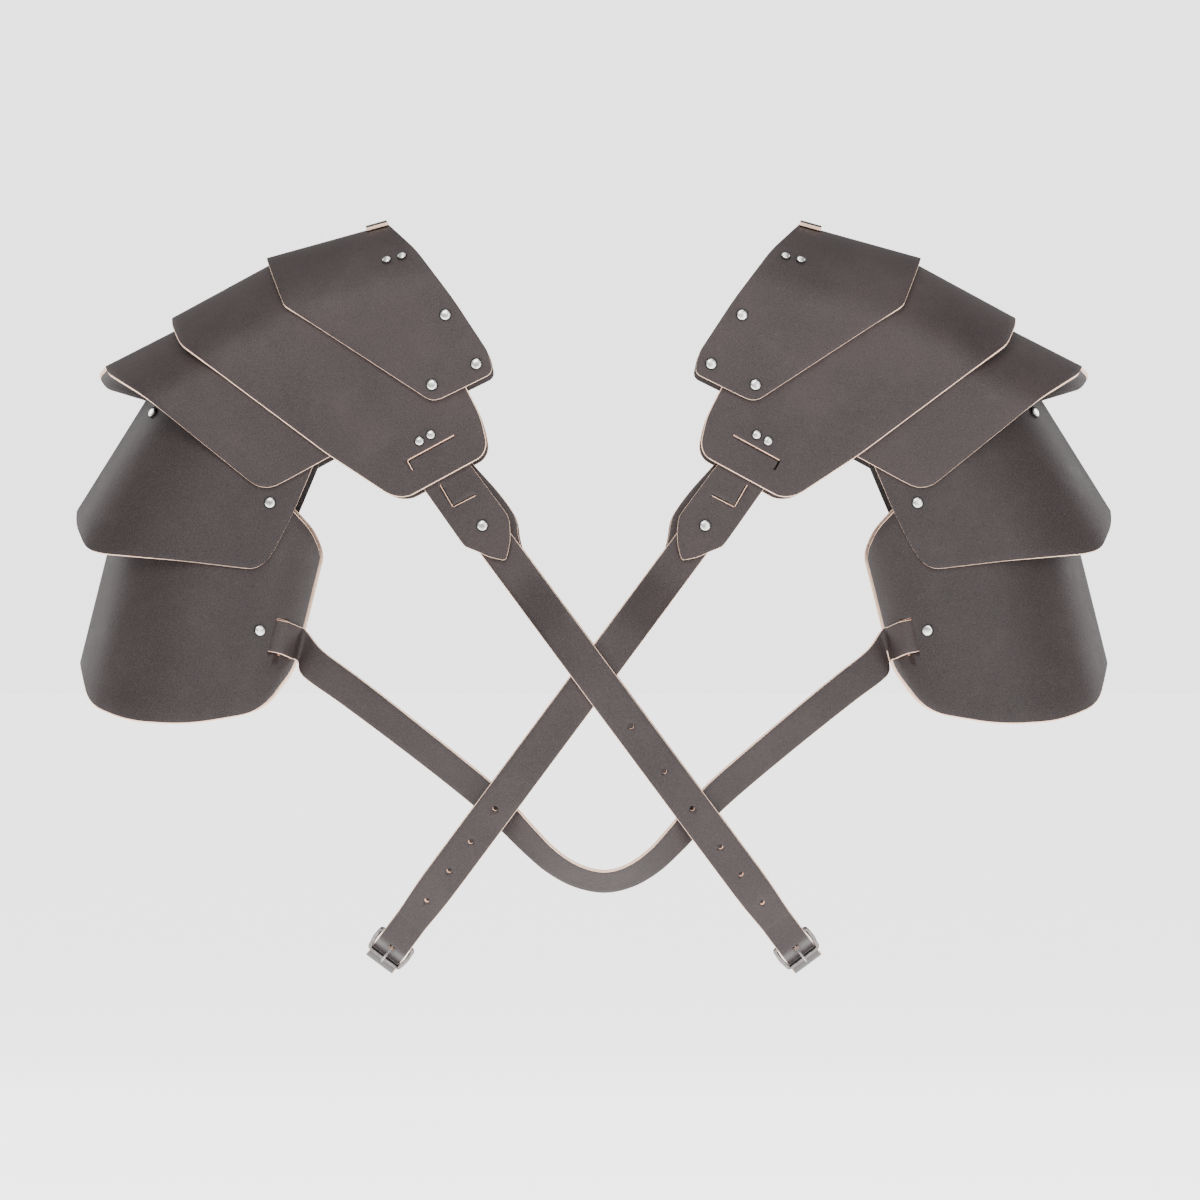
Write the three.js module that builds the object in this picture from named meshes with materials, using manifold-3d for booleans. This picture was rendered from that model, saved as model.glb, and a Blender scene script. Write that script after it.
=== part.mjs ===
// A pair of layered leather pauldrons with crossed straps, worn as one harness.
// Millimetres, +Z up, front towards -Y, origin midway between the shoulders at collar height.
// Each side has five bent plates, a folded tab, two belt straps, a buckle and its rivets.
import * as THREE from "three";
import { mergeVertices } from "three/addons/utils/BufferGeometryUtils.js";
import Module from "manifold-3d";

const wasm = await Module();
wasm.setup();

// Leather and clearances
const PLATE_THICKNESS = 2.4;
const BELT_THICKNESS = 2.4;
const THIN_THICKNESS = 2.2;
const CLEARANCE = 0.4;
const PITCH = PLATE_THICKNESS + CLEARANCE;

// How the flaps spread: deeper front to back going down, shallower going out
const SPREAD_DOWN = 0.0018;
const SPREAD_OUT = 0.0008;
const COLLAR_X = 138.9;

// Half depth of each plate's flap at the collar, from the outermost plate inwards
const COLLAR_FLAP = 66;
const SHOULDER_FLAP = COLLAR_FLAP - PLATE_THICKNESS - 2.4 * CLEARANCE;
const CAP_FLAP = SHOULDER_FLAP - PLATE_THICKNESS - CLEARANCE;
const UPPER_ARM_FLAP = CAP_FLAP - PLATE_THICKNESS - CLEARANCE;
const LOWER_ARM_FLAP = UPPER_ARM_FLAP - PLATE_THICKNESS - CLEARANCE;

// Rivets
const RIVET_CAP_RADIUS = 4;
const RIVET_CAP_HEIGHT = 1.5;
const SMALL_CAP_RADIUS = 3.3;
const RIVET_SHANK_RADIUS = 1.5;
const RIVET_TAIL_HEIGHT = 0.9;
const RIVET_SEAT = 0.3;
const RIVET_SIDES = 8;
const HOLE_SIDES = 6;

// Folded tab
const TAB_HALF_WIDTH = 17.5;
const TAB_TOP = -77;
const TAB_POINT = 27.5;
const SLIT_WIDTH = 0.9;

// Belt loop: it starts at the tab rivet, crosses the middle and turns at the far flank
const TAB_RIVET = { x: 74.4, z: -191.6 };
const BELT_SLOPE = THREE.MathUtils.degToRad(53.4);
const LOOP_HALF_WIDTH = 145;
const LOOP_HALF_DEPTH = 114;
const BELT_HALF_WIDTH = 12.3;
const BELT_HALF_NARROW = 10.4;
const BELT_TOP = -17;
const BELT_HOLE_RADIUS = 2;

// Buckle, on the middle of its frame, at a turn round the belt loop
const BUCKLE_TURN = THREE.MathUtils.degToRad(72.7);
const BUCKLE_SINK = 4;
const BUCKLE_REACH = 14.5;
const BUCKLE_WIRE = 1.5;
const BUCKLE_BORE_HALF = 11.3;
const TONGUE_THICKNESS = 1.7;
const TONGUE_WIDTH = 2.6;

// Strap that joins the two lower arm plates
const JOIN_HALF_WIDTH = 11;

const LEATHER = { color: 0x4a403e, roughness: 0.5, metalness: 0 };
const NICKEL = { color: 0xc9c6c2, roughness: 0.25, metalness: 1 };
const DARK_STEEL = { color: 0x6b6763, roughness: 0.3, metalness: 1 };

const DEG = Math.PI / 180;
const FRONT = 1;
const BACK = -1;

// Depth factor of the spread at a place of the front view
function spread(x, z) {
  return 1 - SPREAD_DOWN * z - SPREAD_OUT * (Math.abs(x) - COLLAR_X);
}

// Cross-section of a plate: crown arc, shoulder arc, upright flap and, on the arm, a curl
function profile(flap, crownTurn, shoulderRadius, curlStart = Infinity, curlRadius = 1) {
  const turn = crownTurn * DEG;
  const crownRadius = (flap - shoulderRadius * (1 - Math.sin(turn))) / Math.sin(turn);
  const crownDrop = crownRadius * (1 - Math.cos(turn));
  const flapDrop = crownDrop + shoulderRadius * Math.cos(turn);
  return { flap, turn, crownRadius, crownDrop, shoulderRadius, flapDrop, curlStart, curlRadius };
}

// Half depth and turn of the section at a drop below the ridge
function section(shape, drop) {
  const { flap, turn, crownRadius, crownDrop, shoulderRadius, flapDrop, curlStart, curlRadius } = shape;
  if (drop <= crownDrop) {
    const angle = Math.acos(Math.max(-1, 1 - drop / crownRadius));
    return { half: crownRadius * Math.sin(angle), angle };
  }
  if (drop <= flapDrop) {
    const angle = Math.acos(Math.cos(turn) - (drop - crownDrop) / shoulderRadius);
    const half = crownRadius * Math.sin(turn) + shoulderRadius * (Math.sin(angle) - Math.sin(turn));
    return { half, angle };
  }
  if (drop <= curlStart) return { half: flap, angle: Math.PI / 2 };
  const past = Math.asin(Math.min(0.95, (drop - curlStart) / curlRadius));
  return { half: flap - curlRadius * (1 - Math.cos(past)), angle: Math.PI / 2 + past };
}

// Point and outward normal of a plate, along its ridge and down from it
function surface(plate, along, drop, face) {
  const slope = plate.slope * DEG;
  const run = new THREE.Vector3(Math.cos(slope), 0, -Math.sin(slope));
  const rise = new THREE.Vector3(Math.sin(slope), 0, Math.cos(slope));
  const { half, angle } = section(plate.shape, drop);
  const point = new THREE.Vector3(plate.x, 0, plate.z)
    .addScaledVector(run, along)
    .addScaledVector(rise, -drop);
  const factor = spread(point.x, point.z);
  point.y = -face * half * factor;
  const pull = (v) => half * (-SPREAD_DOWN * v.z - SPREAD_OUT * v.x);
  const onward = run.clone().setY(-face * pull(run));
  const around = rise.clone().multiplyScalar(-Math.sin(angle));
  around.y = -face * (Math.cos(angle) * factor + pull(around));
  const normal = new THREE.Vector3().crossVectors(onward, around).normalize();
  const outward = rise.clone().multiplyScalar(Math.cos(angle)).setY(-face * Math.sin(angle));
  if (normal.dot(outward) < 0) normal.negate();
  return { point, normal };
}

// Outline in millimetres from shares of the plate's length and drop, its corners rounded
function outlinePoints(table, length, drop) {
  const corners = table.map((row) => new THREE.Vector2(row.along * length, row.down * drop));
  const path = new THREE.Path().moveTo(corners[0].x, corners[0].y);
  for (let i = 1; i < corners.length - 1; i++) {
    const round = table[i].round ?? 0;
    const before = corners[i - 1].clone().sub(corners[i]);
    const after = corners[i + 1].clone().sub(corners[i]);
    const cut = Math.min(round, before.length() * 0.48, after.length() * 0.48);
    if (cut < 0.5) {
      path.lineTo(corners[i].x, corners[i].y);
      continue;
    }
    const start = corners[i].clone().addScaledVector(before.normalize(), cut);
    const end = corners[i].clone().addScaledVector(after.normalize(), cut);
    path.lineTo(start.x, start.y);
    path.quadraticCurveTo(corners[i].x, corners[i].y, end.x, end.y);
  }
  path.lineTo(corners.at(-1).x, corners.at(-1).y);
  return path.getPoints(2);
}

// Least and greatest place along the ridge that the outline reaches at a drop
function reachAt(points, drop) {
  let low = Infinity;
  let high = -Infinity;
  for (let i = 1; i < points.length; i++) {
    const [a, b] = [points[i - 1], points[i]];
    if (drop < Math.min(a.y, b.y) - 1e-9 || drop > Math.max(a.y, b.y) + 1e-9) continue;
    const share = Math.abs(b.y - a.y) < 1e-9 ? 0 : (drop - a.y) / (b.y - a.y);
    for (const place of Math.abs(b.y - a.y) < 1e-9 ? [a.x, b.x] : [a.x + share * (b.x - a.x)]) {
      low = Math.min(low, place);
      high = Math.max(high, place);
    }
  }
  return [low, high];
}

const ROW_STEP = 60;
const ROW_TURN = 15;
const LEAST_ROW = 4.2;
const END_INSET = 0.15;

// Length round the section from the ridge to a drop
function girth(shape, drop) {
  const { angle } = section(shape, Math.min(drop, shape.flapDrop));
  const crown = shape.crownRadius * Math.min(angle, shape.turn);
  const shoulder = shape.shoulderRadius * Math.max(0, angle - shape.turn);
  return crown + shoulder + Math.max(0, drop - shape.flapDrop);
}

// Drops at which one half of a plate has its rows
function rowDrops(plate, points) {
  const { crownRadius, crownDrop, shoulderRadius, turn, flapDrop, curlStart } = plate.shape;
  const deepest = Math.max(...points.map((p) => p.y));
  const wanted = points.map((p) => p.y);
  for (let drop = flapDrop; drop < Math.min(curlStart, deepest); drop += ROW_STEP) wanted.push(drop);
  for (let drop = curlStart; drop < deepest; drop += ROW_STEP / 7) wanted.push(drop);
  for (let angle = ROW_TURN * DEG; angle < Math.PI / 2; angle += ROW_TURN * DEG)
    wanted.push(
      angle < turn
        ? crownRadius * (1 - Math.cos(angle))
        : crownDrop + shoulderRadius * (Math.cos(turn) - Math.cos(angle)),
    );
  const last = deepest - END_INSET;
  const rows = [];
  for (const drop of wanted.filter((d) => d > 0 && d < last).sort((a, b) => a - b)) {
    const spare = girth(plate.shape, drop) - girth(plate.shape, rows.at(-1) ?? 0);
    if (spare >= LEAST_ROW && last - drop >= 0.9) rows.push(drop);
  }
  rows.push(last);
  return rows;
}

// One closed wall from a grid of outer points and the matching inner ones
function wall(outer, inner) {
  const rows = outer.length;
  const columns = outer[0].length;
  const positions = [];
  const quad = (a, b, c, d) => {
    for (const p of [a, b, c, a, c, d]) positions.push(p.x, p.y, p.z);
  };
  for (let i = 0; i + 1 < rows; i++) {
    for (let j = 0; j + 1 < columns; j++) {
      quad(outer[i][j], outer[i][j + 1], outer[i + 1][j + 1], outer[i + 1][j]);
      quad(inner[i][j], inner[i + 1][j], inner[i + 1][j + 1], inner[i][j + 1]);
    }
    quad(outer[i][0], outer[i + 1][0], inner[i + 1][0], inner[i][0]);
    const j = columns - 1;
    quad(outer[i][j], inner[i][j], inner[i + 1][j], outer[i + 1][j]);
  }
  for (let j = 0; j + 1 < columns; j++) {
    quad(outer[0][j], inner[0][j], inner[0][j + 1], outer[0][j + 1]);
    const i = rows - 1;
    quad(outer[i][j], outer[i][j + 1], inner[i][j + 1], inner[i][j]);
  }
  return new THREE.BufferGeometry().setAttribute("position", new THREE.Float32BufferAttribute(positions, 3));
}

// A geometry as a solid for cutting and joining, always facing out
function solid(geometry) {
  const bare = geometry.index ? geometry.toNonIndexed() : geometry.clone();
  for (const name of Object.keys(bare.attributes)) if (name !== "position") bare.deleteAttribute(name);
  const merged = mergeVertices(bare, 1e-4);
  const triVerts = new Uint32Array(merged.index.array);
  const make = () =>
    new wasm.Manifold(
      new wasm.Mesh({ numProp: 3, vertProperties: merged.attributes.position.array, triVerts }),
    );
  const made = make();
  if (made.volume() > 0) return made;
  for (let i = 0; i < triVerts.length; i += 3)
    [triVerts[i + 1], triVerts[i + 2]] = [triVerts[i + 2], triVerts[i + 1]];
  return make();
}

function geometryOf(body) {
  const mesh = body.getMesh();
  const geometry = new THREE.BufferGeometry()
    .setAttribute("position", new THREE.BufferAttribute(mesh.vertProperties, 3))
    .setIndex(new THREE.BufferAttribute(mesh.triVerts, 1));
  const flat = geometry.toNonIndexed();
  flat.computeVertexNormals();
  return flat;
}

// The bent sheet of a plate, between its outlines at the front and at the back
function plateSolid(plate, lift = 0, thickness = PLATE_THICKNESS) {
  const halves = [
    [BACK, outlinePoints(plate.back ?? plate.front, plate.length, plate.drop)],
    [FRONT, outlinePoints(plate.front, plate.length, plate.drop)],
  ];
  const outer = [];
  const inner = [];
  const addRow = (points, drop, face) => {
    const ends = reachAt(points, drop).map((along) => surface(plate, along, drop, face));
    outer.push(ends.map((end) => end.point.clone().addScaledVector(end.normal, lift)));
    inner.push(ends.map((end) => end.point.clone().addScaledVector(end.normal, lift - thickness)));
  };
  for (const drop of rowDrops(plate, halves[0][1]).reverse()) addRow(halves[0][1], drop, BACK);
  addRow(halves[1][1], 0, FRONT);
  for (const drop of rowDrops(plate, halves[1][1])) addRow(halves[1][1], drop, FRONT);
  return solid(wall(outer, inner));
}

// The plates, as shares of their length along the ridge and of their drop below it
const collarPlate = {
  x: COLLAR_X,
  z: 12.4,
  slope: 15.5,
  length: 85,
  drop: 125.5,
  shape: profile(COLLAR_FLAP, 50, 40),
  front: [
    { along: 0, down: 0 },
    { along: -0.165, down: 0.185, round: 6 },
    { along: -0.346, down: 0.495, round: 10 },
    { along: -0.5, down: 0.82, round: 4 },
    { along: -0.49, down: 0.935, round: 5 },
    { along: 0.025, down: 1, round: 7 },
    { along: 0.955, down: 0.285, round: 3 },
    { along: 1, down: 0 },
  ],
};
const shoulderPlate = {
  x: collarPlate.x + 81.1,
  z: collarPlate.z - 28.1,
  slope: 28.5,
  length: 76.4,
  drop: 183.6,
  shape: profile(SHOULDER_FLAP, 50, 38),
  front: [
    { along: -0.13, down: 0 },
    { along: -0.13, down: 0.17, round: 8 },
    { along: -0.53, down: 0.33, round: 10 },
    { along: -0.88, down: 0.52, round: 14 },
    { along: -1.03, down: 0.68, round: 10 },
    { along: -1.02, down: 0.87, round: 8 },
    { along: -0.93, down: 1, round: 11 },
    { along: -0.04, down: 1, round: 13 },
    { along: 0.325, down: 0.716, round: 6 },
    { along: 1, down: 0.107, round: 4 },
    { along: 0.99, down: 0.03, round: 3 },
    { along: 0.965, down: 0 },
  ],
};
const capPlate = {
  x: shoulderPlate.x + 64.3,
  z: shoulderPlate.z - 44.6,
  slope: 27,
  length: 50.7,
  drop: 126,
  shape: profile(CAP_FLAP, 50, 35),
  front: [
    { along: -0.37, down: 0 },
    { along: -0.37, down: 0.13, round: 6 },
    { along: -2, down: 0.64, round: 20 },
    { along: -3.05, down: 0.76, round: 9 },
    { along: -3.05, down: 0.965, round: 12 },
    { along: -0.14, down: 1, round: 13 },
    { along: 0.22, down: 0.677, round: 10 },
    { along: 0.69, down: 0.253, round: 8 },
    { along: 1, down: 0.045, round: 3 },
    { along: 1, down: 0 },
  ],
  back: [
    { along: -0.37, down: 0 },
    { along: -0.37, down: 0.13, round: 6 },
    { along: -2, down: 0.64, round: 20 },
    { along: -3.05, down: 0.76, round: 9 },
    { along: -3.05, down: 0.965, round: 12 },
    { along: -0.14, down: 1, round: 13 },
    { along: 0.24, down: 0.685, round: 10 },
    { along: 0.71, down: 0.258, round: 8 },
    { along: 1.15, down: 0.085, round: 5 },
    { along: 1.16, down: 0.02, round: 3 },
    { along: 1, down: 0 },
  ],
};
const upperArmPlate = {
  x: capPlate.x + 18.4,
  z: capPlate.z - 46.6,
  slope: 58,
  length: 106,
  drop: 129.3,
  shape: profile(UPPER_ARM_FLAP, 60, 110, 119, 90),
  front: [
    { along: -0.146, down: 0 },
    { along: -0.127, down: 0.466, round: 12 },
    { along: -0.158, down: 0.777, round: 12 },
    { along: -0.26, down: 0.93, round: 4 },
    { along: 0.13, down: 0.983, round: 20 },
    { along: 0.43, down: 1, round: 7 },
    { along: 0.53, down: 0.965, round: 6 },
    { along: 0.73, down: 0.618, round: 12 },
    { along: 0.96, down: 0.245, round: 6 },
    { along: 0.99, down: 0.16, round: 8 },
    { along: 0.9, down: 0.045, round: 6 },
    { along: 0.82, down: 0 },
  ],
};
const lowerArmPlate = {
  x: upperArmPlate.x + 26.1,
  z: upperArmPlate.z - 104.2,
  slope: 76,
  length: 104,
  drop: 142,
  shape: profile(LOWER_ARM_FLAP, 60, 104, 104, 45),
  front: [
    { along: -0.55, down: 0 },
    { along: -0.645, down: 0.48, round: 14 },
    { along: -0.645, down: 0.743, round: 8 },
    { along: -0.49, down: 0.92, round: 7 },
    { along: -0.35, down: 1, round: 8 },
    { along: 0.42, down: 1, round: 10 },
    { along: 0.74, down: 0.9, round: 14 },
    { along: 0.93, down: 0.58, round: 18 },
    { along: 1, down: 0.3, round: 16 },
    { along: 0.96, down: 0.1, round: 10 },
    { along: 0.72, down: 0 },
  ],
};

// Places on the plates, along the ridge and down from it
const SEATS = {
  neckUpper: { plate: collarPlate, along: -21.4, drop: 71.3 },
  neckLower: { plate: collarPlate, along: -32.6, drop: 108.5 },
  pivot: { plate: collarPlate, along: -0.3, drop: 114.1 },
  smallInner: { plate: collarPlate, along: -3.8, drop: 25.2 },
  smallOuter: { plate: collarPlate, along: 6.7, drop: 24.9 },
  tabInner: { plate: shoulderPlate, along: -42.7, drop: 154.2 },
  tabOuter: { plate: shoulderPlate, along: -34, drop: 154.3 },
  hangerCap: { plate: capPlate, along: -10.6, drop: 0 },
  hangerArm: { plate: upperArmPlate, along: 3.7, drop: 9.8 },
  arms: { plate: upperArmPlate, along: 13.2, drop: 109.7 },
  joining: { plate: lowerArmPlate, along: 23.5, drop: 114.5 },
};

function seat(name, face = FRONT) {
  const { plate, along, drop } = SEATS[name];
  return surface(plate, along, drop, face);
}

// Turns local +Z to the outward normal at a seat
function placed(geometry, at) {
  const turn = new THREE.Quaternion().setFromUnitVectors(new THREE.Vector3(0, 0, 1), at.normal);
  return geometry.applyMatrix4(new THREE.Matrix4().compose(at.point, turn, new THREE.Vector3(1, 1, 1)));
}

// A rivet through a stack of leather whose outer face lies at the seat
function rivetGeometry(at, stack, capRadius = RIVET_CAP_RADIUS) {
  const under = -stack - 2 * RIVET_SEAT;
  const profilePoints = [
    [0, RIVET_CAP_HEIGHT],
    [capRadius * 0.72, RIVET_CAP_HEIGHT * 0.75],
    [capRadius, 0],
    [RIVET_SHANK_RADIUS, 0],
    [RIVET_SHANK_RADIUS, under],
    [capRadius * 0.8, under],
    [0, under - RIVET_TAIL_HEIGHT],
  ].map(([radius, height]) => new THREE.Vector2(radius, height + RIVET_SEAT));
  const lathe = new THREE.LatheGeometry(profilePoints.reverse(), RIVET_SIDES).rotateX(Math.PI / 2);
  return placed(lathe, at);
}

// A pin that cuts the hole of a rivet through its own stack
function punch(at, stack, radius = RIVET_SHANK_RADIUS + RIVET_SEAT + 0.15) {
  const pin = new THREE.CylinderGeometry(radius, radius, stack + 2, HOLE_SIDES).rotateX(Math.PI / 2);
  return solid(placed(pin.translate(0, 0, -stack / 2), at));
}

// The belt frame: along from the tab rivet, across towards the neck, depth towards the front
const BELT_RUN = new THREE.Vector3(-Math.cos(BELT_SLOPE), 0, -Math.sin(BELT_SLOPE));
const BELT_ACROSS = new THREE.Vector3(-Math.sin(BELT_SLOPE), 0, Math.cos(BELT_SLOPE));
const BELT_CENTRE = TAB_RIVET.x / Math.cos(BELT_SLOPE);
const LOOP_REACH = LOOP_HALF_WIDTH / Math.cos(BELT_SLOPE);

function beltPoint(along, across, depth) {
  return new THREE.Vector3(TAB_RIVET.x, -depth, TAB_RIVET.z)
    .addScaledVector(BELT_RUN, along)
    .addScaledVector(BELT_ACROSS, across);
}

// Depth of a layer that lies under the shoulder plate's flap, at a place of the belt frame
function flapDepth(along, across, under) {
  const flat = beltPoint(along, across, 0);
  return (SHOULDER_FLAP - under) * spread(flat.x, flat.z);
}

const TAB_FRONT_UNDER = PLATE_THICKNESS + CLEARANCE;
const BELT_UNDER = TAB_FRONT_UNDER + THIN_THICKNESS + CLEARANCE;
const TAB_BACK_UNDER = BELT_UNDER + BELT_THICKNESS + CLEARANCE;

// The depth at which the belt runs on the loop's curve, before its crossing lift
function loopDepth(along) {
  const share = THREE.MathUtils.clamp((along - BELT_CENTRE) / LOOP_REACH, -1, 1);
  return LOOP_HALF_DEPTH * Math.sqrt(1 - share * share);
}

const LEAVE_START = TAB_POINT - 1;
const LEAVE_END = 104;
const CROSSING_SPAN = 34;
const CROSSING_LIFT = BELT_THICKNESS + 3 * CLEARANCE;

function crossingLift(along, lifted) {
  const past = (along - BELT_CENTRE) / CROSSING_SPAN;
  return lifted ? CROSSING_LIFT * Math.exp(-past * past) : 0;
}

// Outer face of the chest belt between the tab and the buckle
function chestDepth(along, across, lifted) {
  const free = THREE.MathUtils.smoothstep(along, LEAVE_START, LEAVE_END);
  const held = flapDepth(along, across, BELT_UNDER);
  return held * (1 - free) + loopDepth(along) * free + crossingLift(along, lifted);
}

function backDepth(along, across, lifted) {
  const free = THREE.MathUtils.smoothstep(along, LEAVE_START, LEAVE_END);
  const held = flapDepth(along, across, BELT_UNDER);
  return -(held * (1 - free) + (loopDepth(along) - 1) * free + crossingLift(along, lifted));
}

// The buckle's frame: forward along the belt and outward from it
const BUCKLE_ALONG = BELT_CENTRE + LOOP_REACH * Math.sin(BUCKLE_TURN);
const BUCKLE_TILT = Math.atan2(LOOP_HALF_DEPTH * Math.sin(BUCKLE_TURN), LOOP_REACH * Math.cos(BUCKLE_TURN));

function buckleToBelt(forward, outward) {
  const lift = outward - BUCKLE_SINK;
  return {
    along: BUCKLE_ALONG + forward * Math.cos(BUCKLE_TILT) + lift * Math.sin(BUCKLE_TILT),
    depth: loopDepth(BUCKLE_ALONG) - forward * Math.sin(BUCKLE_TILT) + lift * Math.cos(BUCKLE_TILT),
  };
}

function beltHalfWidth(along) {
  const narrow = THREE.MathUtils.smoothstep(along, 0.84 * BUCKLE_ALONG, 0.93 * BUCKLE_ALONG);
  return BELT_HALF_WIDTH + (BELT_HALF_NARROW - BELT_HALF_WIDTH) * narrow;
}

// A strip of leather from rows of its outer face's two edges; the body lies on the given side
function strip(rows, thickness, side) {
  const middle = (row) => row[0].clone().add(row[1]).multiplyScalar(0.5);
  const normals = rows.map((row, i) => {
    const before = middle(rows[Math.max(0, i - 1)]);
    const after = middle(rows[Math.min(rows.length - 1, i + 1)]);
    const onward = after.sub(before);
    const across = row[1].clone().sub(row[0]);
    return new THREE.Vector3().crossVectors(onward, across).normalize().multiplyScalar(side);
  });
  const inner = rows.map((row, i) => row.map((p) => p.clone().addScaledVector(normals[i], thickness)));
  return solid(wall(rows, inner));
}

function beltRow(along, depth, half) {
  return [-half, half].map((across) =>
    beltPoint(along, across, typeof depth === "function" ? depth(along, across) : depth),
  );
}

// Route of the chest belt over the pivot bar and under the outer bar, as shares of the buckle's reach
const CHEST_BUCKLE_ROWS = [
  { forward: -2.5, outward: -0.2 },
  { forward: -1.95, outward: 0.09 },
  { forward: -1.4, outward: 0.35 },
  { forward: -1, outward: 0.469 },
  { forward: -0.55, outward: 0.385 },
  { forward: 0, outward: 0.172 },
  { forward: 0.55, outward: -0.04 },
  { forward: 1, outward: -0.131 },
  { forward: 1.5, outward: -0.195 },
  { forward: 2.1, outward: -0.345 },
  { forward: 2.6, outward: -0.54 },
  { forward: 3.05, outward: -0.8 },
];
const BELT_STEPS = 17;

function chestBelt(lifted) {
  const rows = [];
  const first = buckleToBelt(CHEST_BUCKLE_ROWS[0].forward * BUCKLE_REACH, 0).along - 6;
  for (let i = 0; i <= BELT_STEPS; i++) {
    const along = BELT_TOP + ((first - BELT_TOP) * i) / BELT_STEPS;
    rows.push(beltRow(along, (a, c) => chestDepth(a, c, lifted), beltHalfWidth(along)));
  }
  for (const { forward, outward } of CHEST_BUCKLE_ROWS) {
    const at = buckleToBelt(forward * BUCKLE_REACH, outward * BUCKLE_REACH);
    rows.push(beltRow(at.along, at.depth, BELT_HALF_NARROW * (forward > 3 ? 0.6 : 1)));
  }
  return strip(rows, BELT_THICKNESS, 1);
}

// Route of the back belt's end round the pivot bar, given on its side away from the bar
const FOLD_RADIUS = BUCKLE_WIRE + RIVET_SEAT + THIN_THICKNESS;
const BACK_BUCKLE_ROWS = [
  { forward: -0.55, outward: -0.31 },
  { forward: 0, outward: -0.375 },
  { forward: 0.55, outward: -0.44 },
  { forward: 1, outward: -0.478 },
  { forward: 1.45, outward: -0.555 },
  { forward: 1.99, outward: -0.71 },
  { forward: 2.43, outward: -0.885 },
  { forward: 2.85, outward: -1.135 },
];
const FLANK_START = 0.75;
const FLANK_END = 0.5;

function backBelt(lifted) {
  const rows = [];
  const add = (forward, outward) => {
    const at = buckleToBelt(forward, outward);
    rows.push(beltRow(at.along, at.depth, BELT_HALF_NARROW));
  };
  add(-BUCKLE_REACH + 2.1, FOLD_RADIUS);
  for (let turn = 90; turn <= 270; turn += 30)
    add(-BUCKLE_REACH + FOLD_RADIUS * Math.cos(turn * DEG), FOLD_RADIUS * Math.sin(turn * DEG));
  for (const { forward, outward } of BACK_BUCKLE_ROWS) add(forward * BUCKLE_REACH, outward * BUCKLE_REACH);
  const turnStart = BUCKLE_TURN + FLANK_START;
  for (let i = 0; i <= 9; i++) {
    const turn = turnStart + ((Math.PI - FLANK_END - turnStart) * i) / 9;
    const inset = THIN_THICKNESS + 1 + 5.5 * (1 - i / 9);
    const along = BELT_CENTRE + (LOOP_REACH - inset) * Math.sin(turn);
    rows.push(beltRow(along, (LOOP_HALF_DEPTH - inset) * Math.cos(turn), beltHalfWidth(along)));
  }
  const last = BELT_CENTRE + LOOP_REACH * Math.sin(Math.PI - FLANK_END) - 14;
  for (let i = 0; i <= BELT_STEPS; i++) {
    const along = last + ((BELT_TOP - last) * i) / BELT_STEPS;
    rows.push(beltRow(along, (a, c) => backDepth(a, c, lifted) + THIN_THICKNESS, beltHalfWidth(along)));
  }
  return strip(rows, THIN_THICKNESS, -1);
}

// The tab: two layers joined by a fold at the top, the belt riveted between their points
const TAB_FRONT_ROWS = [
  { along: 0.98, low: -0.12, high: -0.02 },
  { along: 0.9, low: -0.24, high: 0.16 },
  { along: 0.7, low: -0.5, high: 0.5 },
  { along: 0.45, low: -0.72, high: 0.79 },
  { along: 0.24, low: -0.92, high: 0.97 },
  { along: 0.08, low: -1.01, high: 1.02 },
  { along: -0.5, low: -1, high: 1.02 },
  { along: -1.3, low: -0.97, high: 1.02 },
  { along: -2.2, low: -0.95, high: 1 },
];
const TAB_BACK_ROWS = [
  { along: -2.2, low: -0.95, high: 1 },
  { along: -1.3, low: -0.96, high: 1.12 },
  { along: -0.5, low: -0.9, high: 1.24 },
  { along: 0.1, low: -0.86, high: 1.24 },
  { along: 0.42, low: -0.7, high: 1.13 },
  { along: 0.72, low: -0.4, high: 0.88 },
  { along: 0.95, low: 0.1, high: 0.72 },
];
const FOLD_TURNS = 4;

function tabSolid(face) {
  const rows = [];
  const half = (row, depth) =>
    [row.low, row.high].map((side) => {
      const [along, across] = [row.along * TAB_POINT, side * TAB_HALF_WIDTH];
      return beltPoint(along, across, face * depth(along, across));
    });
  const outer = (a, c) => flapDepth(a, c, TAB_FRONT_UNDER);
  const inner = (a, c) => flapDepth(a, c, TAB_BACK_UNDER) - THIN_THICKNESS * 1.05;
  for (const row of TAB_FRONT_ROWS) rows.push(half(row, outer));
  for (let i = 1; i < FOLD_TURNS; i++) {
    const turn = (Math.PI * i) / FOLD_TURNS;
    rows.push(
      [-0.95, 1].map((side) => {
        const across = side * TAB_HALF_WIDTH;
        const top = TAB_TOP + 7;
        const [a, b] = [outer(top, across), inner(top, across)];
        const along = top - ((a - b) / 2) * Math.sin(turn);
        return beltPoint(along, across, face * ((a + b) / 2 + ((a - b) / 2) * Math.cos(turn)));
      }),
    );
  }
  for (const row of TAB_BACK_ROWS) rows.push(half(row, inner));
  return strip(rows, THIN_THICKNESS, -face);
}

// Seats on the folded tab and on the belt under it
function tabSeat(face) {
  const depth = (a, c) => face * flapDepth(a, c, TAB_FRONT_UNDER);
  const point = beltPoint(0, 0, depth(0, 0));
  const a = beltPoint(1, 0, depth(1, 0)).sub(point);
  const b = beltPoint(0, 1, depth(0, 1)).sub(point);
  const normal = new THREE.Vector3().crossVectors(a, b).normalize();
  if (normal.y * face > 0) normal.negate();
  return { point, normal };
}

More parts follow.
